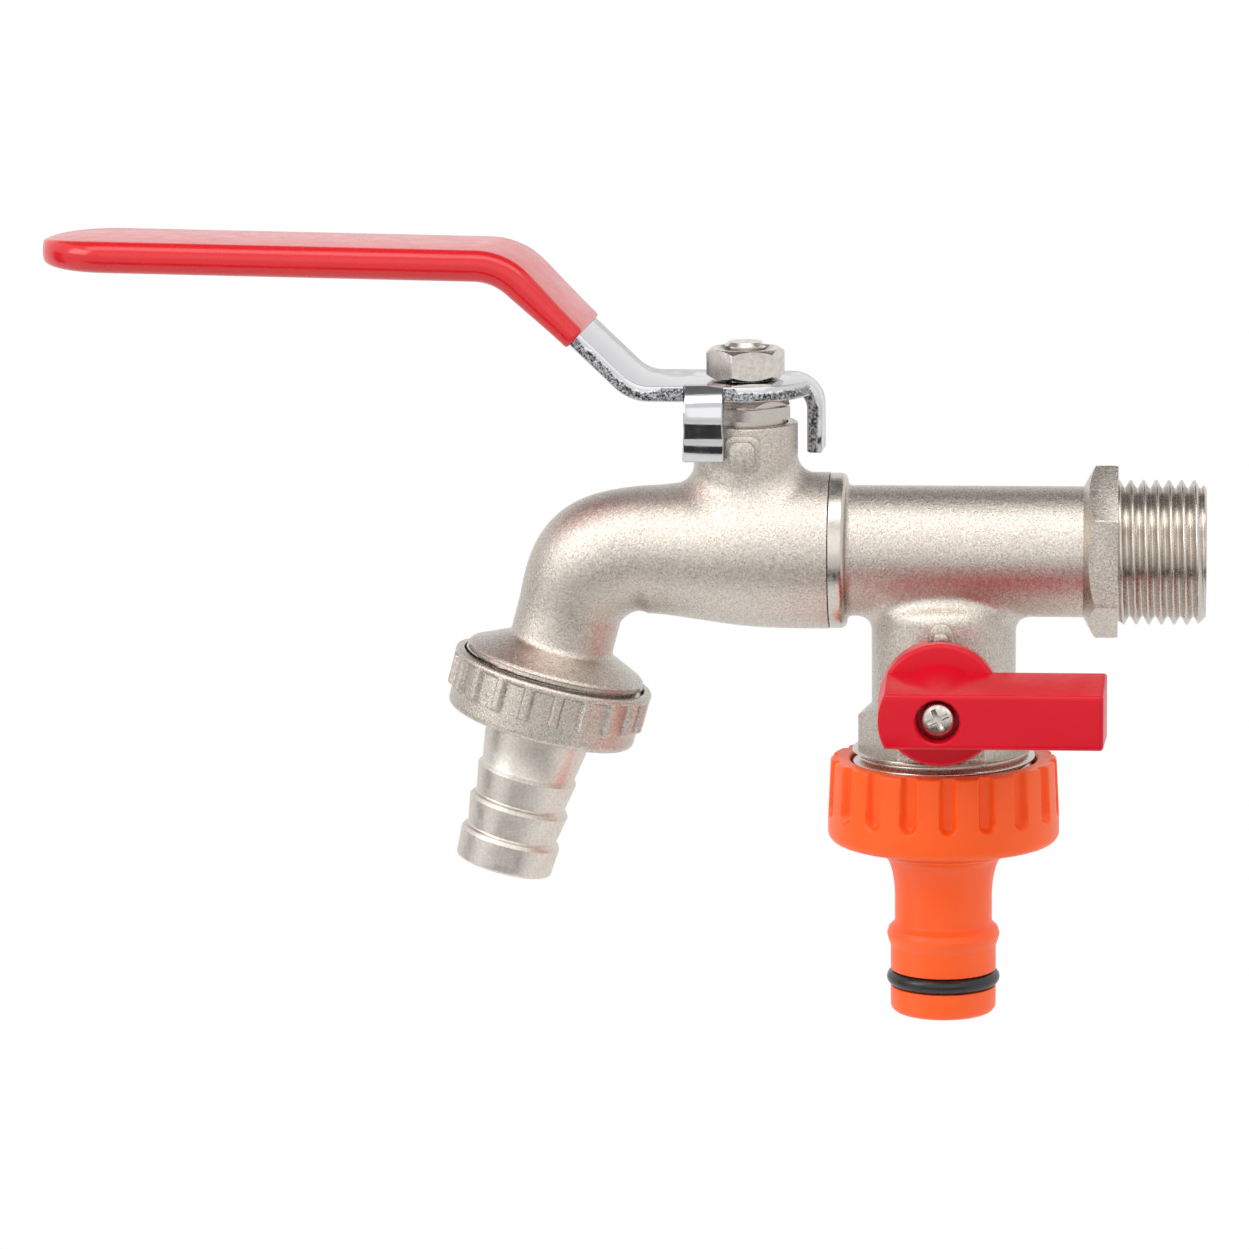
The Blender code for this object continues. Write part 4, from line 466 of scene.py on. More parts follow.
GROOVE_EDGE = 0.12


# Outlines

def arc(cx, cy, radius, start, end, steps):
    """Points on an arc, with its angles in degrees."""
    angles = [math.radians(start + (end - start) * i / steps) for i in range(steps + 1)]
    return [(cx + radius * math.cos(a), cy + radius * math.sin(a)) for a in angles]


def quarter(count):
    """Angles of a quarter turn in equal steps, both ends included."""
    return [math.pi / 2 * i / count for i in range(count + 1)]


def around(count, shift=0.0):
    """Angles of a full turn in equal steps."""
    return [2 * math.pi * (k + shift) / count for k in range(count)]


def clamp(value):
    """The value, held between 0 and 1."""
    return min(max(value, 0.0), 1.0)


def rounded(points, closed=False, steps=CORNER_STEPS):
    """Points (a, b) or (a, b, radius). A corner that has a radius becomes an arc."""
    made = []
    count = len(points)
    for i, point in enumerate(points):
        here = Vector(point[:2])
        if len(point) < 3 or (not closed and i in (0, count - 1)):
            made.append(tuple(here))
            continue
        back = Vector(points[i - 1][:2]) - here
        ahead = Vector(points[(i + 1) % count][:2]) - here
        half = back.angle(ahead) / 2
        cut = min(point[2] / math.tan(half), back.length * 0.49, ahead.length * 0.49)
        radius = cut * math.tan(half)
        middle = (back.normalized() + ahead.normalized()).normalized()
        centre = here + middle * (radius / math.sin(half))
        first = here + back.normalized() * cut - centre
        last = here + ahead.normalized() * cut - centre
        start = math.atan2(first.y, first.x)
        sweep = math.remainder(math.atan2(last.y, last.x) - start, 2 * math.pi)
        for k in range(steps + 1):
            angle = start + sweep * k / steps
            made.append((centre.x + radius * math.cos(angle), centre.y + radius * math.sin(angle)))
    return made


def dense(points, step):
    """The same outline with points at most step apart."""
    made = [points[0]]
    for (a, b), (c, d) in zip(points, points[1:]):
        parts = max(1, math.ceil(math.hypot(c - a, d - b) / step))
        made += [(a + (c - a) * k / parts, b + (d - b) * k / parts) for k in range(1, parts + 1)]
    return made


def rounded_square(half, low, high, corner):
    points = [(-half, low, corner), (half, low, corner), (half, high, corner), (-half, high, corner)]
    return rounded(points, closed=True, steps=EDGE_STEPS)


def between(table, share):
    """Read a table of (share of the way, value) pairs between its points."""
    for (a, va), (b, vb) in zip(table, table[1:]):
        if share <= b:
            way = (share - a) / (b - a)
            return va + (vb - va) * way
    return table[-1][1]


def smooth_between(table, share, spread=0.06):
    """The same table, averaged over a short stretch so that it has no kinks."""
    reads = [between(table, clamp(share + spread * k / 4)) for k in range(-4, 5)]
    return sum(reads) / len(reads)


# Meshes

def in_scene(name, data):
    """A new object in the scene that holds a mesh, a light or a camera."""
    made = bpy.data.objects.new(name, data)
    bpy.context.scene.collection.objects.link(made)
    return made


def mesh_from(name, work):
    """A bmesh, which is used up, as a mesh."""
    mesh = bpy.data.meshes.new(name)
    work.to_mesh(mesh)
    work.free()
    return mesh


def shape(name, work, place=None):
    """A bmesh in millimetres as an object in the row frame."""
    bmesh.ops.recalc_face_normals(work, faces=work.faces)
    mesh = mesh_from(name, work)
    mesh.transform(Matrix.Scale(MM, 4) @ (place or Matrix.Identity(4)))
    return in_scene(name, mesh)


def turned(profile, steps, closed=False):
    """Turn (radius, height) points about Z into a closed bmesh."""
    work = bmesh.new()
    rows = []
    for r, z in profile:
        if r < TINY:
            rows.append([work.verts.new((0, 0, z))])
            continue
        rows.append([work.verts.new((r * math.cos(a), r * math.sin(a), z)) for a in around(steps)])
    pairs = list(zip(rows, rows[1:]))
    if closed:
        pairs.append((rows[-1], rows[0]))
    for upper, lower in pairs:
        for k in range(steps):
            j = (k + 1) % steps
            corners = [row[i % len(row)] for row, i in ((upper, k), (upper, j), (lower, j), (lower, k))]
            corners = list(dict.fromkeys(corners))
            if len(corners) > 2:
                work.faces.new(corners)
    return work


def stepped_bar(name, place, steps, foot, sides=SMALL):
    """A round bar or cutter: each (radius, top) runs down to the next one's top, the last to foot."""
    lows = [top for radius, top in steps[1:]] + [foot]
    profile = [(0, steps[0][1])]
    for (radius, top), low in zip(steps, lows):
        profile += [(radius, top), (radius, low)]
    return shape(name, turned(profile + [(0, foot)], sides), place)


def lofted(rings):
    """Skin rings of equally many points, and close both ends."""
    work = bmesh.new()
    rows = [[work.verts.new(p) for p in ring] for ring in rings]
    count = len(rows[0])
    for low, high in zip(rows, rows[1:]):
        for i in range(count):
            j = (i + 1) % count
            work.faces.new((low[i], low[j], high[j], high[i]))
    work.faces.new(rows[0])
    work.faces.new(rows[-1])
    return work


def prism(outline, low, high):
    """A flat outline in XY, raised from low to high."""
    return lofted([[(x, y, low) for x, y in outline], [(x, y, high) for x, y in outline]])


def block(low, high):
    """A plain box between two corners, used for cutting."""
    outline = [(low[0], low[1]), (high[0], low[1]), (high[0], high[1]), (low[0], high[1])]
    return prism(outline, low[2], high[2])


def both_sides(half):
    """Spans of the two cuts that leave a bar half to each side of its middle."""
    return (-half - CUT_DEPTH, -half), (half, half + CUT_DEPTH)


def hexagon(across, low, high, turn):
    """A hexagonal bar with softened edges, one of them turned from -Y."""
    corner = across / math.sqrt(3)
    angles = [turn - math.pi / 2 + k * math.pi / 3 for k in range(6)]
    corners = [(corner * math.cos(a), corner * math.sin(a), HEX_CORNER_R) for a in angles]
    return prism(rounded(corners, closed=True), low, high)


def evaluated(made):
    """Replace an object by the plain mesh that its modifiers give."""
    bpy.context.view_layer.update()
    graph = bpy.context.evaluated_depsgraph_get()
    mesh = bpy.data.meshes.new_from_object(made.evaluated_get(graph))
    made.modifiers.clear()
    made.data = mesh
    return made


def carve(made, operation, *tools):
    """Join, cut or intersect a piece with tools, which are used up."""
    for tool in tools:
        step = made.modifiers.new(tool.name, 'BOOLEAN')
        step.operation = operation
        step.object = tool
        step.solver = 'EXACT'
    evaluated(made)
    for tool in tools:
        bpy.data.objects.remove(tool)
    return welded(made)


def welded(made):
    """Close the hairline seams that cutting leaves."""
    work = bmesh.new()
    work.from_mesh(made.data)
    bmesh.ops.remove_doubles(work, verts=work.verts, dist=WELD * MM)
    bmesh.ops.dissolve_degenerate(work, edges=work.edges, dist=WELD * MM)
    work.to_mesh(made.data)
    work.free()
    return made


def soften(made, width, angle=40, segments=2):
    """Round the sharp edges of a cut or bent piece."""
    step = made.modifiers.new("soften", 'BEVEL')
    step.width = width * MM
    step.segments = segments
    step.limit_method = 'ANGLE'
    step.angle_limit = math.radians(angle)
    return evaluated(made)


def dress(made, body, material, slot, *nodes, sharp=35):
    """Finish a piece: its material, shading, the body it rides on and the CAD nodes it stands for."""
    if material is not None:
        made.data.materials.clear()
        made.data.materials.append(material)
    made.data.shade_smooth()
    made.data.set_sharp_from_angle(angle=math.radians(sharp))
    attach(made, body)
    if nodes:
        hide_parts(*nodes)
    return made


# Geometry node trees

def feed(tree, socket, value):
    """Link an output to a socket, or set the socket to a plain value."""
    if isinstance(value, Term):
        value = value.socket
    if isinstance(value, bpy.types.NodeSocket):
        tree.links.new(value, socket)
    else:
        socket.default_value = value


class Term:
    """A number that a node tree works out, for use in sums."""

    def __init__(self, tree, socket):
        self.tree = tree
        self.socket = socket

    def to(self, operation, *others, clamp=False):
        made = self.tree.nodes.new('ShaderNodeMath')
        made.operation = operation
        made.use_clamp = clamp
        for socket, value in zip(made.inputs, (self, *others)):
            feed(self.tree, socket, value)
        return Term(self.tree, made.outputs[0])

    def __add__(self, other):
        return self.to('ADD', other)

    def __sub__(self, other):
        return self.to('SUBTRACT', other)

    def __mul__(self, other):
        return self.to('MULTIPLY', other)

    def __truediv__(self, other):
        return self.to('DIVIDE', other)


class Tree:
    """Builds one geometry node tree with named inputs."""

    def __init__(self, name, inputs):
        self.tree = bpy.data.node_groups.new(name, 'GeometryNodeTree')
        face = self.tree.interface
        face.new_socket("Geometry", in_out='INPUT', socket_type='NodeSocketGeometry')
        for label in inputs:
            face.new_socket(label, in_out='INPUT', socket_type='NodeSocketFloat')
        face.new_socket("Material", in_out='INPUT', socket_type='NodeSocketMaterial')
        face.new_socket("Geometry", in_out='OUTPUT', socket_type='NodeSocketGeometry')
        source = self.tree.nodes.new('NodeGroupInput').outputs
        self.geometry = source["Geometry"]
        self.material = source["Material"]
        self.given = [Term(self.tree, source[label]) for label in inputs]

    def node(self, kind, **links):
        made = self.tree.nodes.new(kind)
        for label, value in links.items():
            feed(self.tree, made.inputs[label], value)
        return made

    def polar(self):
        """Place of each point, then its angle and its radius about Z."""
        place = self.node('GeometryNodeInputPosition').outputs[0]
        x, y, z = (Term(self.tree, out) for out in self.node('ShaderNodeSeparateXYZ', Vector=place).outputs)
        return x, y, z, y.to('ARCTAN2', x), (x * x + y * y).to('SQRT')

    def smooth_step(self, value, low, high):
        made = self.tree.nodes.new('ShaderNodeMapRange')
        made.interpolation_type = 'SMOOTHSTEP'
        for socket, given in zip(made.inputs, (value, low, high, 0.0, 1.0)):
            feed(self.tree, socket, given)
        return Term(self.tree, made.outputs[0])

    def finish(self, x, y, z, outside, ratio):
        """Scale x and y by ratio where outside is 1, realize the instances and set the material."""
        scale = outside * (ratio - 1.0) + 1.0
        place = self.node('ShaderNodeCombineXYZ', X=x * scale, Y=y * scale, Z=z)
        moved = self.node('GeometryNodeSetPosition', Geometry=self.geometry, Position=place.outputs[0])
        real = self.node('GeometryNodeRealizeInstances', Geometry=moved.outputs[0])
        painted = self.node('GeometryNodeSetMaterial', Geometry=real.outputs[0], Material=self.material)
        self.tree.links.new(painted.outputs[0], self.tree.nodes.new('NodeGroupOutput').inputs[0])
        return self.tree


def thread_tree():
    """Cuts a right hand thread into the outside of a turned barrel."""
    made = Tree("thread", ["Radius", "Pitch", "Depth", "Crest", "Low", "High", "Fade Low", "Fade High"])
    outer, pitch, depth, crest, low, high, fade_low, fade_high = made.given
    x, y, z, angle, radius = made.polar()
    turns = z / pitch - angle / (2 * math.pi)
    to_crest = (turns.to('FRACT') * 2.0 - 1.0).to('ABSOLUTE')
    flank = (to_crest - crest).to('DIVIDE', crest * -2.0 + 1.0, clamp=True)
    faded = made.smooth_step(z, low, low + fade_low) * made.smooth_step(z, high, high - fade_high)
    wanted = radius.to('MINIMUM', outer - depth * flank * faded)
    outside = radius.to('GREATER_THAN', outer - depth * THREAD_REACH)
    return made.finish(x, y, z, outside, wanted / radius)


def pocket_tree():
    """Presses evenly spaced pockets with rounded corners into the outside of a turned ring."""
    made = Tree("pockets", ["Radius", "Count", "Turn", "Half Width", "Middle", "Half Height", "Corner",
                            "Softness", "Depth"])
    outer, count, turn, half_width, middle, half_height, corner, softness, depth = made.given
    x, y, z, angle, radius = made.polar()
    share = ((angle - turn) * (count / (2 * math.pi)) + POCKET_SHIFT).to('FRACT')
    across = (share - 0.5).to('ABSOLUTE') * (outer * (2 * math.pi) / count)
    beyond_x = across - half_width + corner
    beyond_z = (z - middle).to('ABSOLUTE') - half_height + corner
    out_x = beyond_x.to('MAXIMUM', 0.0)
    out_z = beyond_z.to('MAXIMUM', 0.0)
    inner = beyond_x.to('MAXIMUM', beyond_z).to('MINIMUM', 0.0)
    distance = (out_x * out_x + out_z * out_z).to('SQRT') + inner - corner
    pressed = made.smooth_step(distance, 0.0, softness * -1.0)
    outside = radius.to('GREATER_THAN', outer - depth * POCKET_REACH)
    floor = radius.to('MINIMUM', outer - pressed * depth)
    return made.finish(x, y, z, outside, floor / radius.to('MAXIMUM', TINY))


THREAD = thread_tree()
POCKETS = pocket_tree()


def with_tree(name, work, tree, material, place, **sizes):
    """Run a tree on a bmesh in its own local frame, then set the plain mesh in place."""
    made = shape(name, work)
    step = made.modifiers.new(name, 'NODES')
    step.node_group = tree
    plain = {"Count", "Turn", "Crest"}
    for item in tree.interface.items_tree:
        if item.in_out != 'INPUT' or item.name == "Geometry":
            continue
        if item.name == "Material":
            step[item.identifier] = material
            continue
        value = sizes[item.name.lower().replace(" ", "_")]
        step[item.identifier] = float(value) if item.name in plain else float(value * MM)
    evaluated(made)
    lengths = Matrix.Scale(MM, 4)
    made.data.transform(lengths @ place @ lengths.inverted())
    return made


# Materials

class Paint:
    """A Principled material whose detail comes from procedural textures in object space."""

    def __init__(self, name, colour, metallic, roughness):
        self.material = bpy.data.materials.new(name)
        self.material.use_nodes = True
        self.tree = self.material.node_tree
        self.shader = self.tree.nodes["Principled BSDF"]
        self.set("Base Color", (*colour, 1.0))
        self.set("Metallic", metallic)
        self.set("Roughness", roughness)
        self.relief = None

    def set(self, label, value):
        self.shader.inputs[label].default_value = value

    def noise(self, size, detail=2.0, stretch=(1, 1, 1), turn=(0, 0, 0), rough=0.5):
        """Noise whose grains are about size millimetres across."""
        coordinates = self.tree.nodes.new('ShaderNodeTexCoord')
        mapping = self.tree.nodes.new('ShaderNodeMapping')
        mapping.inputs["Scale"].default_value = stretch
        mapping.inputs["Rotation"].default_value = turn
        made = self.tree.nodes.new('ShaderNodeTexNoise')
        made.inputs["Scale"].default_value = 1 / (size * MM)
        made.inputs["Detail"].default_value = detail
        made.inputs["Roughness"].default_value = rough
        self.tree.links.new(coordinates.outputs["Object"], mapping.inputs["Vector"])
        self.tree.links.new(mapping.outputs[0], made.inputs["Vector"])
        return made.outputs["Fac"]

    def ramp(self, value, stops):
        """Colours along a value, from (place, grey) or (place, colour) stops."""
        made = self.tree.nodes.new('ShaderNodeValToRGB')
        elements = made.color_ramp.elements
        while len(elements) < len(stops):
            elements.new(0.5)
        for element, (place, colour) in zip(elements, stops):
            element.position = place
            element.color = (*colour, 1.0) if isinstance(colour, tuple) else (colour, colour, colour, 1.0)
        self.tree.links.new(value, made.inputs[0])
        return made.outputs[0]

    def math(self, operation, *values):
        made = self.tree.nodes.new('ShaderNodeMath')
        made.operation = operation
        for socket, value in zip(made.inputs, values):
            feed(self.tree, socket, value)
        return made.outputs[0]

    def mix(self, share, first, second):
        made = self.tree.nodes.new('ShaderNodeMix')
        made.data_type = 'RGBA'
        sockets = (made.inputs["Factor"], made.inputs[6], made.inputs[7])
        for socket, value in zip(sockets, (share, first, second)):
            feed(self.tree, socket, value)
        return made.outputs[2]

    def vary(self, label, value, *stops):
        """Drive one of the shader's inputs by a ramp over a texture."""
        self.tree.links.new(self.ramp(value, stops), self.shader.inputs[label])

    def bump(self, value, height, strength=1.0):
        """Add relief of the given height in millimetres on top of any before it."""
        made = self.tree.nodes.new('ShaderNodeBump')
        made.inputs["Strength"].default_value = strength
        made.inputs["Distance"].default_value = height * MM
        self.tree.links.new(value, made.inputs["Height"])
        if self.relief is not None:
            self.tree.links.new(self.relief, made.inputs["Normal"])
        self.relief = made.outputs[0]
        self.tree.links.new(self.relief, self.shader.inputs["Normal"])

    def rough(self, size, low, high):
        """Let the roughness wander between two values, in spots of about size millimetres."""
        self.vary("Roughness", self.noise(size, detail=3.0), (0.3, low), (0.7, high))

    def grain(self, size, height, strength):
        """Relief of soft noise."""
        self.bump(self.noise(size), height, strength)


def cast_nickel():
    """Bead blasted casting under nickel: warm grey with a fine sparkling grain."""
    made = Paint("cast_nickel", (0.6, 0.55, 0.5), 1.0, 0.32)
    grain = made.noise(0.27, detail=4.0, rough=0.7)
    made.vary("Base Color", grain, (0.3, (0.36, 0.32, 0.28)), (0.5, (0.6, 0.54, 0.48)),
              (0.7, (0.78, 0.73, 0.67)))
    made.rough(0.9, 0.22, 0.32)
    made.grain(1.6, 0.04, 0.8)
    made.bump(grain, 0.095, 1.0)
    return made.material


def machined_nickel():
    """Turned faces and threads under nickel, brighter and nearly smooth."""
    made = Paint("machined_nickel", (0.6, 0.55, 0.5), 1.0, 0.24)
    made.rough(0.5, 0.2, 0.34)
    made.grain(0.35, 0.006, 0.6)
    return made.material


def tail_nickel():
    """Turned hose tail with fine tool lines round it."""
    made = Paint("tail_nickel", (0.72, 0.67, 0.61), 1.0, 0.36)
    lines = made.noise(0.5, detail=4.0, stretch=(0.06, 0.06, 3), turn=(0, -OUTLET_TILT, 0))
    grain = made.noise(0.4, detail=3.0, rough=0.6)
    made.vary("Base Color", grain, (0.3, (0.62, 0.57, 0.51)), (0.7, (0.8, 0.75, 0.69)))
    made.rough(2.0, 0.34, 0.46)
    made.bump(lines, 0.008, 0.6)
    made.bump(grain, 0.035, 0.8)
    return made.material


def lever_chrome():
    """Polished plate of the lever."""
    made = Paint("lever_chrome", (0.61, 0.61, 0.63), 1.0, 0.1)
    made.vary("Roughness", made.noise(1.4, detail=3.0), (0.3, 0.07), (0.75, 0.17))
    made.grain(2.5, 0.012, 0.4)
    made.grain(0.3, 0.004, 0.4)
    return made.material


def sheared_steel():
    """Sheared edges of the lever plate: burnished by the punch above, torn and pitted below, where the
    hollows of the pits carry painted shade in near black.
    """
    made = Paint("sheared_steel", (0.66, 0.66, 0.67), 1.0, 0.16)
    depth = made.tree.nodes.new('ShaderNodeAttribute')
    depth.attribute_name = "depth"
    wander = made.math('MULTIPLY_ADD', made.noise(1.6, detail=3.0), 0.5, -0.25)
    torn = made.ramp(made.math('ADD', depth.outputs["Fac"], wander), [(0.6, 1.0), (0.76, 0.0)])
    pits = made.noise(0.42, detail=5.0, rough=0.75)
    # Painted shade: where the pit noise is low, which is where the bump sinks, the colour goes near black.
    pit_shade_colour = made.ramp(pits, [(0.42, (0.03, 0.03, 0.035)), (0.58, (0.55, 0.55, 0.56))])
    colour = made.mix(torn, (0.66, 0.66, 0.68, 1.0), pit_shade_colour)
    made.tree.links.new(colour, made.shader.inputs["Base Color"])
    made.bump(made.math('MULTIPLY', torn, pits), 0.3, 1.0)
    return made.material


def zinc_steel():
    """Zinc plated nut, stem end and screw, slightly spotted."""
    made = Paint("zinc_steel", (0.7, 0.65, 0.6), 1.0, 0.24)
    spots = made.noise(0.8, detail=4.0, rough=0.6)
    made.vary("Base Color", spots, (0.35, (0.6, 0.55, 0.5)), (0.65, (0.78, 0.73, 0.68)))
    made.vary("Roughness", spots, (0.35, 0.3), (0.65, 0.18))
    made.bump(spots, 0.012, 0.5)
    return made.material


def dipped_vinyl():
    """Glossy red dip with a slight orange peel."""
    made = Paint("dipped_vinyl", (0.6, 0.008, 0.013), 0.0, 0.22)
    made.set("Specular IOR Level", 0.35)
    made.set("Coat Weight", 0.4)
    made.set("Coat Roughness", 0.12)
    made.vary("Roughness", made.noise(3.0, detail=2.0), (0.3, 0.2), (0.7, 0.3))
    made.grain(4.0, 0.05, 0.35)
    made.grain(0.6, 0.003, 0.4)
    return made.material


def moulded_crimson():
    """Semi gloss crimson plastic with a fine moulded texture."""
    made = Paint("moulded_crimson", (0.6, 0.001, 0.014), 0.0, 0.3)
    made.set("Specular IOR Level", 0.2)
    made.set("Coat Weight", 0.22)
    made.set("Coat Roughness", 0.14)
    made.rough(1.2, 0.3, 0.4)
    made.grain(5.0, 0.04, 0.3)
    made.grain(0.3, 0.006, 0.5)
    return made.material


def moulded_orange(name, colour):
    """Satin orange plastic that lets a little light through."""
    made = Paint(name, colour, 0.0, 0.36)
    made.set("Specular IOR Level", 0.4)
    made.set("Subsurface Weight", 0.25)
    made.set("Subsurface Radius", (0.004, 0.0012, 0.0004))
    made.set("Subsurface Scale", 0.15)
    made.rough(1.5, 0.32, 0.44)
    made.grain(3.5, 0.03, 0.3)
    made.grain(0.35, 0.006, 0.5)
    return made.material


def black_rubber():
    """Black rubber with a dull shine."""
    made = Paint("black_rubber_look", (0.012, 0.012, 0.014), 0.0, 0.28)
    made.rough(0.8, 0.22, 0.4)
    made.grain(0.3, 0.006, 0.6)
    return made.material


def seal_white():
    """Slightly waxy white of the seats and washers."""
    made = Paint("seal_white_look", (0.85, 0.85, 0.83), 0.0, 0.42)
    made.set("Subsurface Weight", 0.2)
    made.set("Subsurface Scale", 0.002)
    made.grain(0.5, 0.01, 0.5)
    return made.material


def plain_brass():
    """Turned brass without plating, inside the tap."""
    made = Paint("plain_brass_look", (0.74, 0.58, 0.32), 1.0, 0.26)
    made.rough(0.6, 0.2, 0.36)
    made.grain(0.3, 0.008, 0.6)
    return made.material


def polished_ball():
    """Bright plated ball of a valve."""
    made = Paint("polished_ball_look", (0.76, 0.76, 0.77), 1.0, 0.08)
    made.rough(1.2, 0.05, 0.14)
    made.grain(0.4, 0.002, 0.4)
    return made.material


CAST = cast_nickel()
MACHINED = machined_nickel()
TAIL_LOOK = tail_nickel()
CHROME = lever_chrome()
SHEARED = sheared_steel()
ZINC = zinc_steel()
VINYL = dipped_vinyl()
CRIMSON = moulded_crimson()
NUT_ORANGE = moulded_orange("nut_orange", (0.98, 0.115, 0.008))
NOZZLE_ORANGE = moulded_orange("nozzle_orange", (1.0, 0.125, 0.018))
RUBBER = black_rubber()
SEAL = seal_white()
BRASS = plain_brass()
BALL = polished_ball()


# Inlet casting

def tube_distance(p):
    """Distance to the outside of the inlet tube."""
    return math.hypot(p.y, p.z) - TUBE_R


def branch_distance(p):
    """Rough distance to the branch, a round bar with a domed top."""
    r = math.hypot(p.x, p.y)
    wide = BRANCH_R - BRANCH_DOME_FLAT
    tall = BRANCH_DOME_TOP - BRANCH_DOME_FOOT
    if p.z < BRANCH_DOME_FOOT:
        return r - BRANCH_R
    across = max(r - BRANCH_DOME_FLAT, 0.0) / wide
    along = (p.z - BRANCH_DOME_FOOT) / tall
    reach = math.hypot(across, along)
    slope = math.hypot(across / wide, along / tall) / max(reach, TINY)
    return (reach - 1) / max(slope, TINY)


def blended(p):
    """The two distances joined by a fillet of about BRANCH_BLEND."""
    a, b = tube_distance(p), branch_distance(p)
    share = max(BRANCH_BLEND - abs(a - b), 0.0) / BRANCH_BLEND
    return min(a, b) - share * share * BRANCH_BLEND / 4


def drawn_onto(p, rounds=12):
    """Move a point to the blended surface along the steepest way."""
    steps = [Vector(axis) * FIELD_STEP for axis in ((1, 0, 0), (0, 1, 0), (0, 0, 1))]
    for _ in range(rounds):
        value = blended(p)
        slope = Vector([(blended(p + step) - value) / FIELD_STEP for step in steps])
        p = p - slope * (value / max(slope.length_squared, LEAST_SLOPE))
    return p


def merge_point(a):
    """Where the blend runs out on the tube, in the direction a from the branch's axis."""
    low, high = BRANCH_DOME_FLAT, BRANCH_R + 2 * BRANCH_BLEND
    if abs(math.sin(a)) > TINY:
        high = min(high, (TUBE_R - SINK) / abs(math.sin(a)))
    for _ in range(HALVINGS):
        r = (low + high) / 2
        x, y = r * math.cos(a), r * math.sin(a)
        p = Vector((x, y, -math.sqrt(max(TUBE_R ** 2 - y ** 2, 0.0))))
        if branch_distance(p) < BRANCH_BLEND:
            low = r
        else:
            high = r
    return p


def branch_foot():
    """The branch tube with its cast blend into the inlet tube above it."""
    angles = around(FINE, 0.5)
    rows = [[] for _ in range(BLEND_ROWS + 1)]
    for a in angles:
        start = merge_point(a)
        out = Vector((math.cos(a), math.sin(a), 0))
        foot = out * BRANCH_R + Vector((0, 0, BRANCH_FOOT_END))
        knee = out * BRANCH_R + Vector((0, 0, start.z - KNEE_DROP))
        rows[0].append(Vector((start.x, start.y * (1 - SINK / TUBE_R), start.z * (1 - SINK / TUBE_R))))
        for i in range(1, BLEND_ROWS + 1):
            t = i / BLEND_ROWS
            p = start * (1 - t) ** 2 + knee * 2 * t * (1 - t) + foot * t * t
            rows[i].append(drawn_onto(p) if i < BLEND_ROWS else foot)
    buried = [p * Vector(BURIED_SHARE) for p in rows[0]]
    low = [Vector((p.x, p.y, BRANCH_HEX_TOP - BRANCH_HEX_CHAMFER)) for p in rows[-1]]
    return shape("branch_foot", lofted([buried] + rows + [low]), AT_BRANCH)


def chamfered_hexagon(name, across, low, high, turn, cone, place):
    """A hexagon with its corners turned off by a blank whose outer profile is cone."""
    made = shape(name, hexagon(across, low, high, turn), place)
    return carve(made, 'INTERSECT', shape(name + "_blank", turned(cone, FINE), place))


def inlet_hexagon():
    """The hexagon at the wall thread, its back turned down to the tube."""
    corner = HEX_AF / math.sqrt(3)
    slope = (HEX_LENGTH - HEX_LAND) / (corner - TUBE_R)
    rim = corner - HEX_RIM
    side = corner + OVERRUN
    cone = [(0, OVERRUN), (rim, OVERRUN), (rim, -HEX_EDGE), (side, -HEX_EDGE - HEX_EDGE_RUN),
            (side, slope - HEX_LAND), (TUBE_R - FOOT_SINK, -HEX_LENGTH), (0, -HEX_LENGTH - OVERRUN)]
    return chamfered_hexagon("inlet_hexagon", HEX_AF, -HEX_LENGTH, 0, math.pi / 2, cone, AT_INLET)


def branch_hexagon():
    """The hexagon above the branch's thread."""
    corner = BRANCH_HEX_AF / math.sqrt(3)
    slope = BRANCH_HEX_CHAMFER / (corner - BRANCH_R + FOOT_SINK)
    top, foot = BRANCH_HEX_TOP, BRANCH_COLLAR - BRANCH_HEX_SINK
    side = corner + OVERRUN
    cone = [(0, top + OVERRUN), (BRANCH_R - FOOT_SINK, top), (side, top - BRANCH_HEX_CHAMFER - slope),
            (side, foot - OVERRUN), (0, foot - OVERRUN)]
    return chamfered_hexagon("branch_hexagon", BRANCH_HEX_AF, foot, top, math.pi / 2, cone, AT_BRANCH)


def stop_lug():
    """The rounded stop on the branch and the narrow nib that runs in the handle's channel."""
    base = BOSS_R - OVERRUN
    outline = arc(0, STOP_TOP - STOP_HALF, STOP_HALF, 0, 180, LUG_STEPS)
    outline += [(-STOP_HALF, base), (STOP_HALF, base)]
    lug = soften(shape("stop_lug", prism(outline, STOP_ROOT, STOP_FACE), AT_HANDLE), STOP_EDGE, segments=3)
    nib = rounded([(-NIB_HALF, NIB_FOOT), (NIB_HALF, NIB_FOOT), (NIB_HALF, NIB_TOP, NIB_CORNER),
                   (-NIB_HALF, NIB_TOP, NIB_CORNER)], closed=True)
    return lug, soften(shape("stop_nib", prism(nib, STOP_ROOT, NIB_FACE), AT_HANDLE), NIB_EDGE)


def inlet_barrel():
    """Tube, collar and the spigot that enters the spout casting."""
    collar_x = JOINT_X + COLLAR_LENGTH
    seam_x = JOINT_X + SEAM_GAP
    spigot_r = CAVITY_R - RUN_GAP
    spigot_end = STEM_X + CAVITY_END
    profile = rounded([
        (0, -BARREL_START), (TUBE_R, -BARREL_START), (TUBE_R, collar_x, COLLAR_FOOT_R),
        (COLLAR_R, collar_x, COLLAR_ROUND), (COLLAR_R, seam_x, SEAM_EDGE), (spigot_r, seam_x),
        (spigot_r, spigot_end), (0, spigot_end),
    ], steps=CASTING_STEPS)
    return shape("inlet_casting", turned(profile, FINE), AT_INLET)


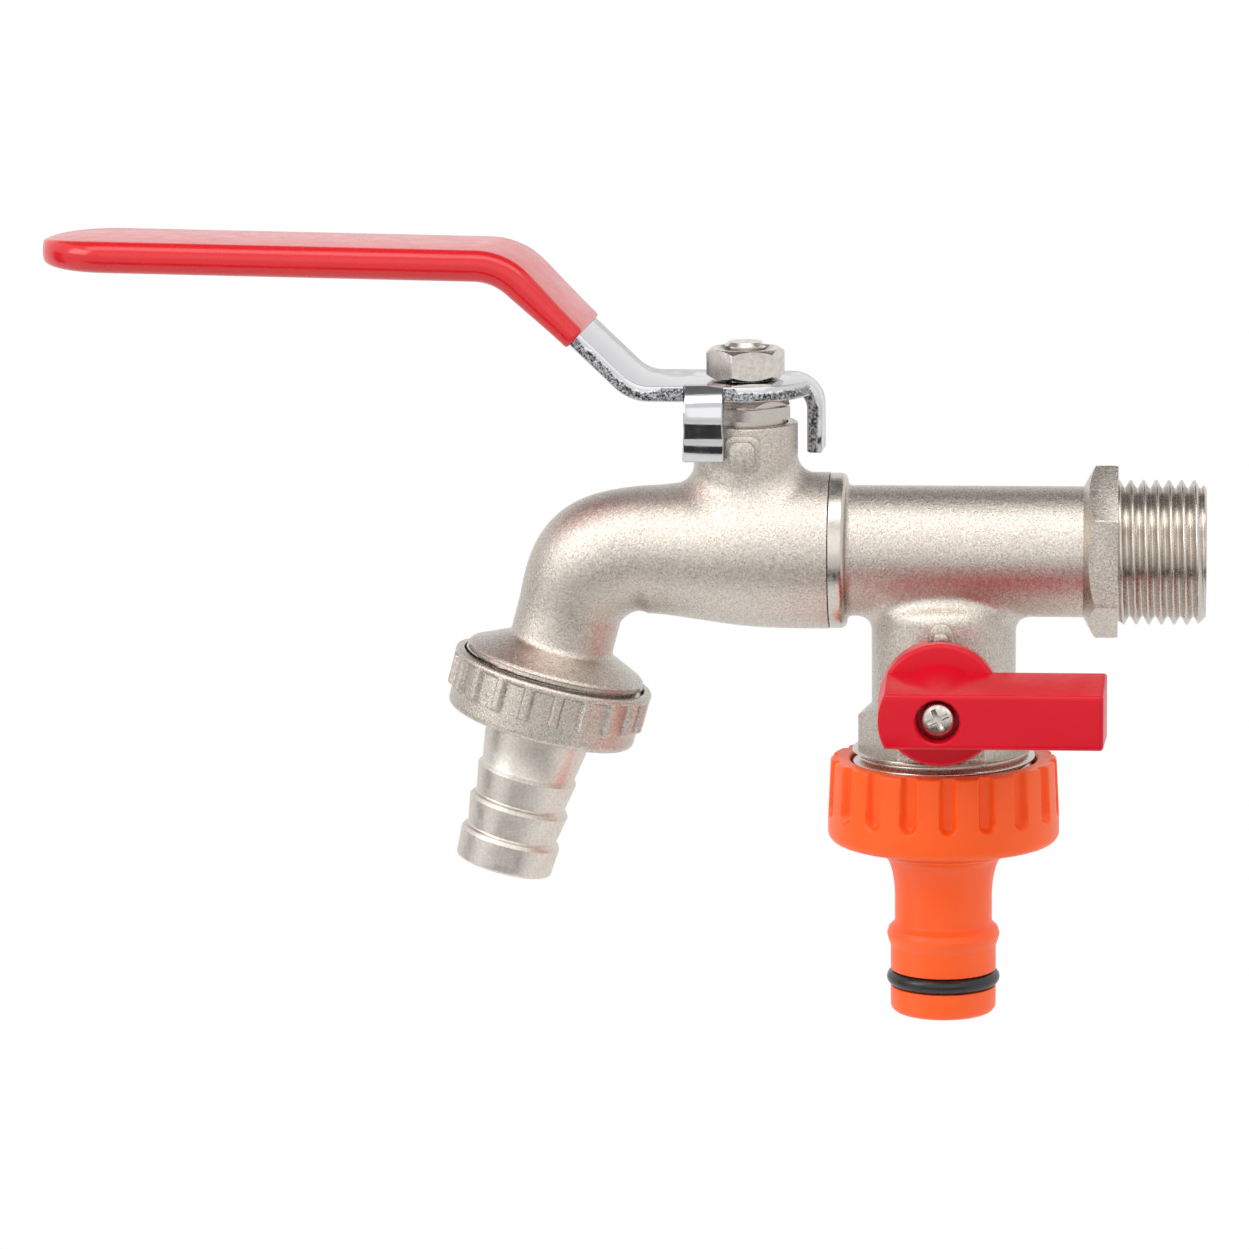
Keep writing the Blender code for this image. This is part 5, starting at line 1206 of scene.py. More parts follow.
def inlet_bores():
    """The waterway of the inlet, the branch's ball cavity and the hole of its stem."""
    mouth = 2 * OVERRUN
    spigot_end = STEM_X + CAVITY_END - OVERRUN
    cone_start, cone_end = JOINT_X + BORE_CONE[0], JOINT_X + BORE_CONE[1]
    main = turned([(0, mouth), (INLET_BORE_R, mouth), (INLET_BORE_R, cone_start), (SPIGOT_BORE_R, cone_end),
                   (SPIGOT_BORE_R, spigot_end), (0, spigot_end)], ROUND)
    branch = [(BRANCH_PASSAGE_R, 0), (BRANCH_CAVITY_R, BRANCH_CAVITY_TOP)]
    stem = [(STEM_HOLE_R, BOSS_FACE + OVERRUN), (STEM_COLLAR_HOLE_R, STEM_COLLAR_HOLE_TOP)]
    return (shape("main_bore", main, AT_INLET),
            stepped_bar("branch_bore", AT_BRANCH, branch, BRANCH_COLLAR - 2 * OVERRUN, ROUND),
            stepped_bar("branch_stem_bore", AT_HANDLE, stem, 0))


def make_inlet_casting():
    """Inlet tube, hexagons, branch and lugs as one casting, its turned collar brighter."""
    boss = rounded([(0, BOSS_FACE), (BOSS_R, BOSS_FACE, BOSS_EDGE), (BOSS_R, STOP_ROOT), (0, STOP_ROOT)])
    made = inlet_barrel()
    carve(made, 'UNION', inlet_hexagon(), branch_foot(), branch_hexagon(), *stop_lug(),
          shape("stem_boss", turned(boss, SMALL), AT_HANDLE))
    carve(made, 'DIFFERENCE', *inlet_bores())
    made.data.materials.append(CAST)
    made.data.materials.append(MACHINED)
    for face in made.data.polygons:
        x, y, z = face.center / MM
        beside_tube = x < JOINT_X + COLLAR_LENGTH - TURNED_EDGE
        on_collar = beside_tube and math.hypot(y, z) > COLLAR_R - COLLAR_ROUND
        face.material_index = 1 if on_collar else 0
    return dress(made, "tap_body", None, "nickel", "inlet_body", sharp=28)


def make_thread(name, radius, bore, low, high, place, low_edge, high_edge, fade_low=NO_FADE):
    """A closed ring with a real helical thread on its outside."""
    profile = [(bore, high), (radius - high_edge, high), (radius, high - high_edge),
               (radius, low + low_edge), (radius - low_edge, low), (bore, low), (bore, high)]
    outline = dense(profile, PITCH / THREAD_ROWS)[:-1]
    made = with_tree(name, turned(outline, FINE, closed=True), THREAD, MACHINED, place, radius=radius,
                     pitch=PITCH, depth=THREAD_DEPTH, crest=CREST_SHARE, low=low, high=high,
                     fade_low=fade_low, fade_high=NO_FADE)
    return dress(made, "tap_body", None, "bright_nickel", sharp=60)


def make_inlet_thread():
    return make_thread("inlet_thread", INLET_THREAD_R, INLET_BORE_R + LINER_GAP, THREAD_START_X,
                       THREAD_END_X, AT_INLET, NO_FADE, THREAD_DEPTH, fade_low=THREAD_FADE)


def make_branch_thread():
    return make_thread("branch_thread", OUTLET_THREAD_R, BRANCH_CAVITY_R + LINER_GAP, BRANCH_END,
                       BRANCH_COLLAR, AT_BRANCH, THREAD_DEPTH, BRANCH_THREAD_EDGE)


# Spout casting

def body_radius(x):
    """Radius of the spout's round body, which tapers from the joint to the bend."""
    share = (JOINT_X - x) / (JOINT_X - BEND_X)
    return BEND_TUBE_R + (BODY_R - BEND_TUBE_R) * smooth_between(TAPER, clamp(share))


def spout_rings(start_x, end_s, radius_at, end_radius, sides):
    """Rings along the spout's centreline: straight, round the bend and down the outlet axis."""
    stations = []
    for i in range(BODY_STEPS):
        x = start_x + (BEND_X - start_x) * i / BODY_STEPS
        stations.append((x, 0.0, 0.0, radius_at(x)))
    bend_radius = radius_at(BEND_X)
    for i in range(BEND_STEPS + 1):
        angle = BEND_SWING * i / BEND_STEPS
        way = i / BEND_STEPS
        eased = way + BEND_EASE * math.sin(2 * math.pi * way) / math.pi
        swell = BEND_SWELL * math.sin(math.pi * way) ** 2
        out = BEND_R + swell
        radius = bend_radius + (end_radius - bend_radius) * eased + swell
        stations.append((BEND_X - out * math.sin(angle), out * math.cos(angle) - BEND_R, angle, radius))
    stations.append((CORNER_X + OUTLET_DOWN.x * end_s, OUTLET_DOWN.z * end_s, BEND_SWING, end_radius))
    rings = []
    for x, z, angle, radius in stations:
        ring = []
        for a in around(sides):
            up, side = radius * math.cos(a), radius * math.sin(a)
            ring.append((x - up * math.sin(angle), side, z + up * math.cos(angle)))
        rings.append(ring)
    return rings


def stem_neck():
    """The stem housing with its cast blend into the round body."""
    angles = around(FINE)

    def ring_at(r, lift):
        ring = []
        for a in angles:
            x, y = r * math.cos(a), r * math.sin(a)
            surface = math.sqrt(max(body_radius(STEM_X + x) ** 2 - y ** 2, 1))
            ring.append((x, y, surface - NECK_SINK + lift))
        return ring

    rings = [ring_at(NECK_R + NECK_FILLET_R, -NECK_ROOT)]
    for t in quarter(3 * CORNER_STEPS):
        rings.append(ring_at(NECK_R + NECK_FILLET_R * (1 - math.sin(t)), NECK_FILLET_R * (1 - math.cos(t))))
    for r, z in arc(NECK_R - NECK_EDGE, NECK_TOP - NECK_EDGE, NECK_EDGE, 0, 90, CORNER_STEPS):
        rings.append([(r * math.cos(a), r * math.sin(a), z) for a in angles])
    return shape("stem_neck", lofted(rings), AT_STEM)


def neck_lugs():
    """The square stop lug in front of the neck, on its low raised pad."""
    front = AT_STEM @ UPRIGHT
    pad = rounded_square(LUG_HALF + PAD_MARGIN, LUG_LOW - PAD_MARGIN, LUG_TOP + PAD_MARGIN, PAD_CORNER)
    lug = rounded_square(LUG_HALF, LUG_LOW, LUG_TOP, LUG_CORNER)
    return (soften(shape("neck_pad", prism(pad, LUG_ROOT, PAD_FACE), front), PAD_EDGE),
            soften(shape("neck_lug", prism(lug, LUG_ROOT, LUG_FACE), front), LUG_EDGE, segments=3))


def outlet_dome():
    """The flared dome above the outlet thread, and the core that the thread is cut round."""
    throat = THROAT_R - NECK_SINK
    groove = OUTLET_THREAD_R - DOME_GROOVE_DEPTH
    profile = rounded([
        (0, -DOME_ROOT), (throat, -DOME_ROOT), (throat, -DOME_START, DOME_FILLET_R),
        (OUTLET_THREAD_R - DOME_EDGE, -DOME_END + DOME_EDGE, DOME_SHOULDER_R),
        (OUTLET_THREAD_R, -DOME_END, DOME_RIM_R), (groove, -DOME_END - FOOT_SINK), (groove, -SPOUT_END),
        (0, -SPOUT_END),
    ], steps=CASTING_STEPS)
    return shape("outlet_dome", turned(profile, FINE), AT_OUTLET)


def make_spout_casting():
    """Ball housing, neck, bend and outlet as one casting."""
    body = spout_rings(JOINT_X - SPOUT_FACE_GAP, THROAT_END, body_radius, THROAT_R, FINE)
    made = shape("spout_casting", lofted(body))
    carve(made, 'UNION', stem_neck(), *neck_lugs(), outlet_dome())
    cavity_end = STEM_X - CAVITY_END
    waterway = spout_rings(cavity_end + OVERRUN, SPOUT_END + OVERRUN, lambda x: WATERWAY_R, WATERWAY_R,
                           SMALL)
    cavity = [(CAVITY_R, JOINT_X + OVERRUN)]
    stem_steps = [(STEM_BORE_R[0], NECK_TOP + OVERRUN), *zip(STEM_BORE_R[1:], STEM_BORE_LEDGES)]
    carve(made, 'DIFFERENCE', stepped_bar("ball_cavity", AT_INLET, cavity, cavity_end, ROUND),
          shape("waterway", lofted(waterway)), stepped_bar("stem_bore", AT_STEM, stem_steps, 0))
    return dress(made, "tap_body", CAST, "nickel", "spout_body", sharp=28)


def make_outlet_thread():
    return make_thread("outlet_thread", OUTLET_THREAD_R, WATERWAY_R + OUTLET_RING_WALL, -SPOUT_END,
                       -DOME_END - DOME_GROOVE, AT_OUTLET, THREAD_DEPTH, OUTLET_THREAD_EDGE)


# Stem and nuts

def make_gland_nut():
    """The low hexagon that holds the packing, with a groove round it."""
    side = GLAND_AF / math.sqrt(3) + OVERRUN
    flat = GLAND_AF / 2
    low = GLAND_LOW - OVERRUN
    cone = [(0, GLAND_TOP), (flat - GLAND_RIM, GLAND_TOP), (side, GLAND_TOP - GLAND_LEAN * (side - flat)),
            (side, low), (0, low)]
    made = chamfered_hexagon("gland_nut_look", GLAND_AF, GLAND_LOW, GLAND_TOP, GLAND_TURN, cone, AT_STEM)
    spigot = [(GLAND_SPIGOT_R, GLAND_TOP - OVERRUN)]
    carve(made, 'UNION', stepped_bar("gland_spigot", AT_STEM, spigot, GLAND_SPIGOT_FOOT, ROUND))
    groove_top = GLAND_GROOVE_Z + GLAND_GROOVE
    inner, outer = flat - GLAND_GROOVE_DEPTH, flat * 2
    corners = [(inner, groove_top), (outer, groove_top), (outer, GLAND_GROOVE_Z), (inner, GLAND_GROOVE_Z)]
    groove = turned(corners, ROUND, closed=True)
    carve(made, 'DIFFERENCE', shape("gland_groove", groove, AT_STEM),
          stepped_bar("gland_bore", AT_STEM, [(STEM_R + RUN_GAP, GLAND_TOP + OVERRUN)], GLAND_BORE_FOOT))
    return dress(made, "tap_body", MACHINED, "nickel", "gland_nut")


def make_lever_nut():
    """The hexagon nut that holds the lever on its stem."""
    low = PLATE_LOW + STRIP + BEARING_GAP
    high = low + NUT_HEIGHT
    corner = NUT_AF / math.sqrt(3)
    flat = NUT_AF / 2
    side = corner + OVERRUN
    drop = NUT_CHAMFER / (corner - flat) * (side - flat)
    cone = [(0, high), (flat - NUT_RIM, high), (side, high - drop), (side, low + drop),
            (flat - NUT_RIM, low), (0, low)]
    made = chamfered_hexagon("lever_nut_look", NUT_AF, low, high, NUT_TURN - LEVER_TURN, cone, AT_LEVER)
    bore_r = STEM_TOP_R + NUT_FIT
    bore = turned([(0, high + OVERRUN), (bore_r + NUT_MOUTH, high + NUT_FIT),
                   (bore_r, high - NUT_MOUTH_DEPTH), (bore_r, low - OVERRUN), (0, low - OVERRUN)], SMALL)
    carve(made, 'DIFFERENCE', shape("nut_bore", bore, AT_LEVER))
    return dress(made, "lever", ZINC, "zinc_steel", "lever_nut")


def make_main_stem():
    """The stem, with flats for the lever, a tang for the ball and a flat on its end."""
    profile = [(0, STEM_TOP), (STEM_TOP_R - STEM_TOP_EDGE, STEM_TOP), (STEM_TOP_R, STEM_TOP - STEM_TOP_EDGE),
               (STEM_TOP_R, STEM_SHOULDER), (STEM_R, STEM_SHOULDER), (STEM_R, STEM_COLLAR_TOP),
               (STEM_COLLAR_R, STEM_COLLAR_TOP), (STEM_COLLAR_R, STEM_COLLAR_FOOT),
               (STEM_FOOT_R, STEM_COLLAR_FOOT), (STEM_FOOT_R, STEM_FOOT), (0, STEM_FOOT)]
    made = shape("main_stem_look", turned(profile, SMALL), AT_LEVER)
    works = []
    for near, far in both_sides(STEM_FLATS / 2):
        works.append(block((-CUT_HALF, near, FLATS_LOW), (CUT_HALF, far, FLATS_TOP)))
    for near, far in both_sides(TANG_HALF):
        works.append(block((near, -CUT_HALF, STEM_FOOT - OVERRUN), (far, CUT_HALF, STEM_COLLAR_FOOT)))
    end_low = (STEM_END_FLAT, -CUT_HALF, STEM_TOP - STEM_END_CUT)
    works.append(block(end_low, (CUT_HALF, CUT_HALF, STEM_TOP + OVERRUN)))
    carve(made, 'DIFFERENCE', *[shape("stem_cut_%d" % i, work, AT_LEVER) for i, work in enumerate(works)])
    return dress(made, "lever", ZINC, "plain_brass", "main_stem")


# Lever

def lever_path(reach):
    """Centreline of the lever's strip, as (distance, x, z, slope), running out to -X."""
    flat_z = PLATE_LOW + STRIP / 2
    foot = Vector((-RISE_X, flat_z))
    top = foot + Vector((-LIFT / math.tan(RISE_ANGLE), LIFT))
    second_turn = RISE_ANGLE - GRIP_SLOPE
    rise = Vector((-math.cos(RISE_ANGLE), math.sin(RISE_ANGLE)))
    points = [(Vector((2 * STRIP_HALF, flat_z)), 0.0)]
    start = foot + Vector((FOOT_BEND_R * math.tan(RISE_ANGLE / 2), 0.0))
    for i in range(BEND_STEPS + 1):
        angle = RISE_ANGLE * i / BEND_STEPS
        points.append((start + Vector((-math.sin(angle), 1 - math.cos(angle))) * FOOT_BEND_R, angle))
    second = top - rise * TOP_BEND_R * math.tan(second_turn / 2)
    centre = second - Vector((math.sin(RISE_ANGLE), math.cos(RISE_ANGLE))) * TOP_BEND_R
    for i in range(BEND_STEPS + 1):
        angle = RISE_ANGLE - second_turn * i / BEND_STEPS
        points.append((centre + Vector((math.sin(angle), math.cos(angle))) * TOP_BEND_R, angle))
    last = points[-1][0]
    run = (reach + last.x) / math.cos(GRIP_SLOPE)
    points.append((last + Vector((-math.cos(GRIP_SLOPE), math.sin(GRIP_SLOPE))) * run, GRIP_SLOPE))
    path = []
    travelled = 0.0
    for i, (place, angle) in enumerate(points):
        if i:
            travelled += (place - points[i - 1][0]).length
        path.append((travelled, place.x, place.y, angle))
    return path


def at_station(path, station):
    """Place and slope at a distance along the path."""
    for (s0, x0, z0, a0), (s1, x1, z1, a1) in zip(path, path[1:]):
        if s0 <= station <= s1:
            break
    way = (station - s0) / (s1 - s0)
    return x0 + (x1 - x0) * way, z0 + (z1 - z0) * way, a0 + (a1 - a0) * way


def strip_side(half, reach):
    """Side outline of a band that follows the strip, half to each side of its middle."""
    path = lever_path(reach)
    upper = [(x + half * math.sin(a), z + half * math.cos(a)) for s, x, z, a in path]
    lower = [(x - half * math.sin(a), z - half * math.cos(a)) for s, x, z, a in path]
    return upper + lower[::-1]


def strip_plan(half, reach):
    """Plan of the strip, round at the stem and at the tip."""
    return arc(0, 0, half, -90, 90, FINE // 2) + arc(half - reach, 0, half, 90, 270, FINE // 2)


def slab_ring(place, half_width, half_thick, radius, steps=3):
    """A rounded rectangle: place maps (across the strip, through it) to a point."""
    radius = min(radius, half_width * WIDEST_CORNER)
    points = []
    for sx, sy, start in ((1, 1, 0), (-1, 1, 90), (-1, -1, 180), (1, -1, 270)):
        cx, cy = sx * (half_width - radius), sy * (half_thick - radius)
        points += [place(u, v) for u, v in arc(cx, cy, radius, start, start + 90, steps)]
    return points


def strip_rings(path, half_width_at):
    """Rings of the plate along a path of (distance, x, z, slope) stations."""
    rings = []
    for station, x, z, slope in path:
        def place(u, v, x=x, z=z, slope=slope):
            return (x + v * math.sin(slope), u, z + v * math.cos(slope))
        rings.append(slab_ring(place, half_width_at(station), STRIP / 2, STRIP_EDGE))
    return rings


def tab_rings(face, end, kick, half_width):
    """Rings of a stop tab in its own frame: X along the plate's edge, Y outward, Z up."""
    outer_r = TAB_BEND_R + STRIP
    middle_r = TAB_BEND_R + STRIP / 2
    y, z = face - outer_r, PLATE_LOW + STRIP - outer_r
    line = [(y - TAB_ROOT, z + middle_r, 0.0)]
    line += [(y + middle_r * math.sin(t), z + middle_r * math.cos(t), t) for t in quarter(TAB_BEND_STEPS)]
    waist = z - TAB_STEP * TAB_WAIST
    straight = face - STRIP / 2
    for i in range(TAB_ROWS + 1):
        share = i / TAB_ROWS
        way = min(share, 1 - share)
        slope = min(way, TAB_EASE) / (TAB_EASE * (1 - TAB_EASE))
        moved = way * slope / 2 if way < TAB_EASE else (way - TAB_EASE / 2) / (1 - TAB_EASE)
        out = kick * (moved if share < 0.5 else 1 - moved)
        lean = math.pi / 2 - math.atan(kick * slope / TAB_STEP)
        line.append((straight + out, waist + TAB_STEP * (0.5 - share), lean))
    line += [(straight + kick, end + STRIP_EDGE, math.pi / 2), (straight + kick, end, math.pi / 2)]
    rings = []
    for i, (out, up, lean) in enumerate(line):
        flare = TAB_FLARE * (1 - min(i / FLARE_ROWS, 1.0)) ** 2
        pad = TAB_PAD * clamp((waist - up) / TAB_STEP)
        tuck = STRIP_EDGE if i == len(line) - 1 else 0.0
        half_thick = STRIP / 2 - TAB_THINNING - tuck

        def place(u, v, out=out, up=up, lean=lean):
            return (u, out + v * math.sin(lean), up + v * math.cos(lean))
        rings.append(slab_ring(place, half_width + flare + pad - tuck, half_thick, STRIP_EDGE))
    return rings


def mark_depth(work, per_ring):
    """Store how far each point lies through the plate: 1 on its upper face and 0 below."""
    layer = work.verts.layers.float.new("depth")
    count = per_ring // 4
    edge = STRIP_EDGE / STRIP
    for i, vert in enumerate(work.verts):
        side, step = divmod(i % per_ring, count)
        turn = math.pi / 2 * step / (count - 1)
        fall = edge * (1 - math.sin(turn))
        rise = edge * (1 - math.cos(turn)) / 2
        vert[layer] = (1 - fall, 1 - rise, fall, rise)[side]
    return work


def plate_solid(name, rings, place):
    """Loft rings of the plate: polished on its faces, sheared along its edges."""
    work = lofted(rings)
    per_ring = len(rings[0])
    work.verts.index_update()
    mark_depth(work, per_ring)
    count = per_ring // 4
    for face in work.faces:
        sides = {(v.index % per_ring) // count for v in face.verts}
        face.material_index = 1 if sides in ({0, 3}, {1, 2}) or len(face.verts) > 4 else 0
    made = shape(name, work, place)
    made.data.materials.append(CHROME)
    made.data.materials.append(SHEARED)
    return made


def plate_half_width(path, reach):
    """Half width of the plate by station: round about the stem and at the tip."""
    def half_width(station):
        x = at_station(path, station)[0]
        beyond = max(x, STRIP_HALF - reach - x, 0.0)
        return math.sqrt(max(STRIP_HALF ** 2 - beyond ** 2, PLATE_END_HALF ** 2))
    return half_width


def tab_gap(name, start, end):
    """A cutter that frees the plate beside a tab's root."""
    low, high = PLATE_LOW - OVERRUN, PLATE_LOW + STRIP + OVERRUN
    return shape(name, block((*start, low), (*end, high)), AT_LEVER)


def make_lever_arm():
    """The pressed lever: plate round the stem, rise, grip and two bent stop tabs."""
    steel_end = LEVER_REACH - SLEEVE_WALL - SLEEVE_FIT
    path = lever_path(steel_end)
    total = path[-1][0]
    ends = [STRIP_HALF * (2 - math.cos(t)) for t in quarter(BEND_STEPS)]
    tips = [total - STRIP_HALF * (1 - math.sin(t)) for t in quarter(BEND_STEPS)]
    bends = [s for s, x, z, slope in path if 2 * STRIP_HALF < s < total - STRIP_HALF]
    stations = [(s, *at_station(path, s)) for s in sorted(ends + bends + tips)]
    made = plate_solid("lever_arm_look", strip_rings(stations, plate_half_width(path, steel_end)), AT_LEVER)
    inside = TAB_BEND_R + STRIP - TAB_GAP
    far = STRIP_HALF + 3 * OVERRUN
    front_side = inside - FRONT_TAB_FACE
    hole = [(STEM_R + RUN_GAP, PLATE_LOW + STRIP + OVERRUN)]
    carve(made, 'DIFFERENCE', stepped_bar("lever_hole", AT_LEVER, hole, PLATE_LOW - OVERRUN),
          tab_gap("front_gap", (FRONT_TAB[0] - TAB_GAP, -far), (FRONT_TAB[1] + TAB_GAP, front_side)),
          tab_gap("rear_gap", (REAR_TAB_FACE - inside, REAR_TAB[0] - TAB_GAP), (far, far)))
    tabs = (("front_tab", FRONT_TAB, FRONT_TAB_FACE, FRONT_TAB_END, FRONT_TAB_KICK, (1, 0, 0), math.pi),
            ("rear_tab", REAR_TAB, REAR_TAB_FACE, REAR_TAB_END, 0.0, (0, 1, 0), -math.pi / 2))
    for name, (start, end), face, foot, kick, along, turn in tabs:
        middle = Matrix.Translation(Vector(along) * (start + end) / 2)
        place = AT_LEVER @ middle @ Matrix.Rotation(turn, 4, 'Z')
        weld_in(made, plate_solid(name, tab_rings(face, foot, kick, (end - start) / 2), place))
    return dress(made, "lever", None, "lever_steel", "lever_arm", sharp=60)


def weld_in(made, other):
    """Add another closed shell to a piece, as a weld whose root lies inside it."""
    work = bmesh.new()
    work.from_mesh(made.data)
    work.from_mesh(other.data)
    work.to_mesh(made.data)
    work.free()
    bpy.data.objects.remove(other)


def sleeve_rings(half_width, thick_at, start, reach, tip_steps, sides):
    """Rounded sections square to the lever's centreline, drawn in to a round tip."""
    path = lever_path(reach)
    total = path[-1][0]
    first = start + RIM_RUN
    straight = total - half_width
    stations = [start + RIM_LENGTH * (1 - math.cos(t)) for t in quarter(RIM_STEPS)]
    stations += [first + (straight - first) * i / SLEEVE_STEPS for i in range(SLEEVE_STEPS)]
    stations += [total - half_width * (1 - math.sin(t)) for t in quarter(tip_steps)[:-1]]
    stations.append(total - half_width * TIP_END)
    rings = []
    for station in stations:
        x, z, a = at_station(path, station)
        narrow = math.sqrt(max(1 - (1 - clamp((total - station) / half_width)) ** 2, 0.0))
        rim = RIM_DROP * (1 - min((station - start) / RIM_LENGTH, 1.0)) ** 2
        half_t = thick_at(station) / 2 * (0.5 + 0.5 * narrow ** TIP_FULLNESS) - rim
        half_w = max(half_width * narrow, half_t * TIP_LEAST) - rim
        corner = min(half_t * SLEEVE_CORNER, half_w * WIDEST_CORNER)
        ring = []
        for t in around(sides, 0.5):
            u = math.copysign(half_w - corner, math.cos(t)) + corner * math.cos(t)
            v = math.copysign(half_t - corner, math.sin(t)) + corner * math.sin(t)
            ring.append((x + v * math.sin(a), u, z + v * math.cos(a)))
        rings.append(ring)
    return rings


def make_lever_sleeve():
    """The dipped sleeve, hollow where the steel runs inside it."""
    start = 2 * STRIP_HALF + RISE_X + SLEEVE_START

    def thick(station):
        way = clamp((station - start) / SLEEVE_SWELL)
        return SLEEVE_MOUTH + (SLEEVE_THICK - SLEEVE_MOUTH) * way * way * (3 - 2 * way)

    rings = sleeve_rings(SLEEVE_HALF, thick, start, LEVER_REACH, SLEEVE_TIP_STEPS, SLEEVE_SIDES)
    made = shape("lever_sleeve_look", lofted(rings), AT_LEVER)
    steel_end = LEVER_REACH - SLEEVE_WALL
    inner = STRIP_HALF + SLEEVE_FIT
    side = strip_side(STRIP / 2 + SLEEVE_FIT, steel_end + OVERRUN)
    hollow = shape("sleeve_hollow", prism(side, -inner - OVERRUN, inner + OVERRUN), AT_LEVER @ UPRIGHT)
    plan = prism(strip_plan(inner, steel_end), *SLEEVE_SPAN)
    carve(hollow, 'INTERSECT', shape("sleeve_plan", plan, AT_LEVER))
    carve(made, 'DIFFERENCE', hollow)
    return dress(made, "lever", VINYL, "red_vinyl", "lever_sleeve", sharp=50)


# Branch handle

def bar_outline(half, reach, left_r, corner):
    """Front outline of the bar: square at its free end, round over the disc."""
    lean = math.degrees(math.asin(half / left_r))
    right = rounded([(0, -half), (reach, -half, corner), (reach, half, corner), (0, half)])
    return right[1:-1] + arc(0, 0, left_r, 180 - lean, 180 + lean, DISC_ARC_STEPS)


def handle_bar():
    """The drafted bar, its front edges rounded by a few shrinking outlines."""
    back = DISC_FACE - BAR_DRAFT
    levels = [(back, 0.0)]
    for t in quarter(CORNER_STEPS):
        levels.append((BAR_FACE - HANDLE_EDGE * (1 - math.sin(t)), HANDLE_EDGE * (1 - math.cos(t))))
    rings = []
    for depth, inset in levels:
        way = (depth - back) / (BAR_FACE - back)
        half = BAR_HALF + BAR_DRAFT * (1 - way) - inset
        reach = BAR_REACH + BAR_END_DRAFT * (1 - way) - inset
        left_r = DISC_R - BAR_INSET - BAR_END_DRAFT * way - inset
        rings.append([(x, y, depth) for x, y in bar_outline(half, reach, left_r, BAR_CORNER)])
    return shape("handle_bar", lofted(rings), AT_HANDLE)


def handle_cuts():
    """Cutters for the screw's recess, the stem's socket, the stop's channel and the hollow bar."""
    hole_r, hole_end = SCREW_R + RUN_GAP, SOCKET_END - OVERRUN
    rim_low, rim_high = BAR_FACE - RECESS_RIM, BAR_FACE + RECESS_TAPER / 2
    recess = [(0, BAR_FACE + OVERRUN), (RECESS_R + RECESS_FLARE, BAR_FACE + OVERRUN),
              (RECESS_R + RECESS_RIM, rim_high), (RECESS_R, rim_low),
              (RECESS_R - RECESS_TAPER, RECESS_FLOOR), (hole_r, RECESS_FLOOR), (hole_r, hole_end),
              (0, hole_end)]
    spare = math.degrees((NIB_HALF + CHANNEL_SPARE) / CHANNEL_R)
    sweep = (arc(0, 0, DISC_R + OVERRUN, -spare, 90 + spare, CHANNEL_STEPS)
             + arc(0, 0, CHANNEL_R, 90 + spare, -spare, CHANNEL_STEPS))
    channel = prism(sweep, DISC_BACK - OVERRUN, DISC_BACK + CHANNEL_DEPTH)
    half = BAR_HALF - BAR_WALL
    pocket = block((DISC_R + BAR_WALL, -half, DISC_FACE - 2 * OVERRUN),
                   (BAR_REACH - BAR_WALL, half, BAR_FACE - BAR_WALL))
    return (shape("handle_recess", turned(recess, ROUND), AT_HANDLE),
            stepped_bar("handle_socket", AT_HANDLE, [(SOCKET_R, SOCKET_END)], DISC_BACK - OVERRUN),
            shape("handle_channel", channel, AT_HANDLE), shape("handle_pocket", pocket, AT_HANDLE))


def make_branch_handle():
    """The red handle: a disc, a boss round the screw and the bar that the fingers turn."""
    disc = rounded([(0, DISC_FACE), (DISC_R, DISC_FACE, DISC_ROUND), (DISC_R, DISC_BACK, DISC_BACK_EDGE),
                    (0, DISC_BACK)], steps=EDGE_STEPS)
    made = shape("branch_handle_look", turned(disc, FINE), AT_HANDLE)
    boss_face, boss_foot = BAR_FACE - HANDLE_BOSS_DROP, DISC_FACE - OVERRUN
    boss = rounded([(0, boss_face), (BAR_HALF - RUN_GAP, boss_face, BAR_CORNER), (HANDLE_BOSS_R, DISC_FACE),
                    (HANDLE_BOSS_R, boss_foot), (0, boss_foot)])
    carve(made, 'UNION', handle_bar(), shape("handle_boss", turned(boss, ROUND), AT_HANDLE))
    carve(made, 'DIFFERENCE', *handle_cuts())
    return dress(made, "branch_lever", CRIMSON, "red_plastic", "branch_handle")


def make_handle_screw():
    """The pan head screw with its cross recess."""
    floor = RECESS_FLOOR + BEARING_GAP
    top = floor + SCREW_HEAD_HEIGHT
    crown = SCREW_HEAD_HEIGHT * CROWN_SHARE
    profile = [(0, top)]
    for t in quarter(CROWN_STEPS)[1:]:
        profile.append((SCREW_HEAD_R * math.sin(t), top - crown + crown * math.cos(t)))
    profile += [(SCREW_HEAD_R, floor + SCREW_EDGE), (SCREW_HEAD_R - SCREW_EDGE, floor), (SCREW_R, floor),
                (SCREW_R, SCREW_FOOT), (0, SCREW_FOOT)]
    made = shape("handle_screw_look", turned(profile, SMALL), AT_HANDLE)
    cross = []
    for turn in (CROSS_TURN, CROSS_TURN + 90):
        arm = block((-CROSS_REACH, -CROSS_HALF, top - CROSS_DEPTH), (CROSS_REACH, CROSS_HALF, top + OVERRUN))
        cross.append(shape("cross_%d" % turn, arm, AT_HANDLE @ Matrix.Rotation(math.radians(turn), 4, 'Z')))
    carve(made, 'DIFFERENCE', *cross)
    soften(made, SCREW_ROUND, angle=60)
    return dress(made, "branch_lever", ZINC, "screw_steel", "handle_screw")


# Union nut and hose tail

def pressed_nut(name, profile, step, material, place, **sizes):
    """A turned nut with pockets pressed into its outside."""
    outline = dense(profile + profile[:1], step)[:-1]
    work = turned(outline, FLUTED_STEPS, closed=True)
    return with_tree(name, work, POCKETS, material, place, **sizes)


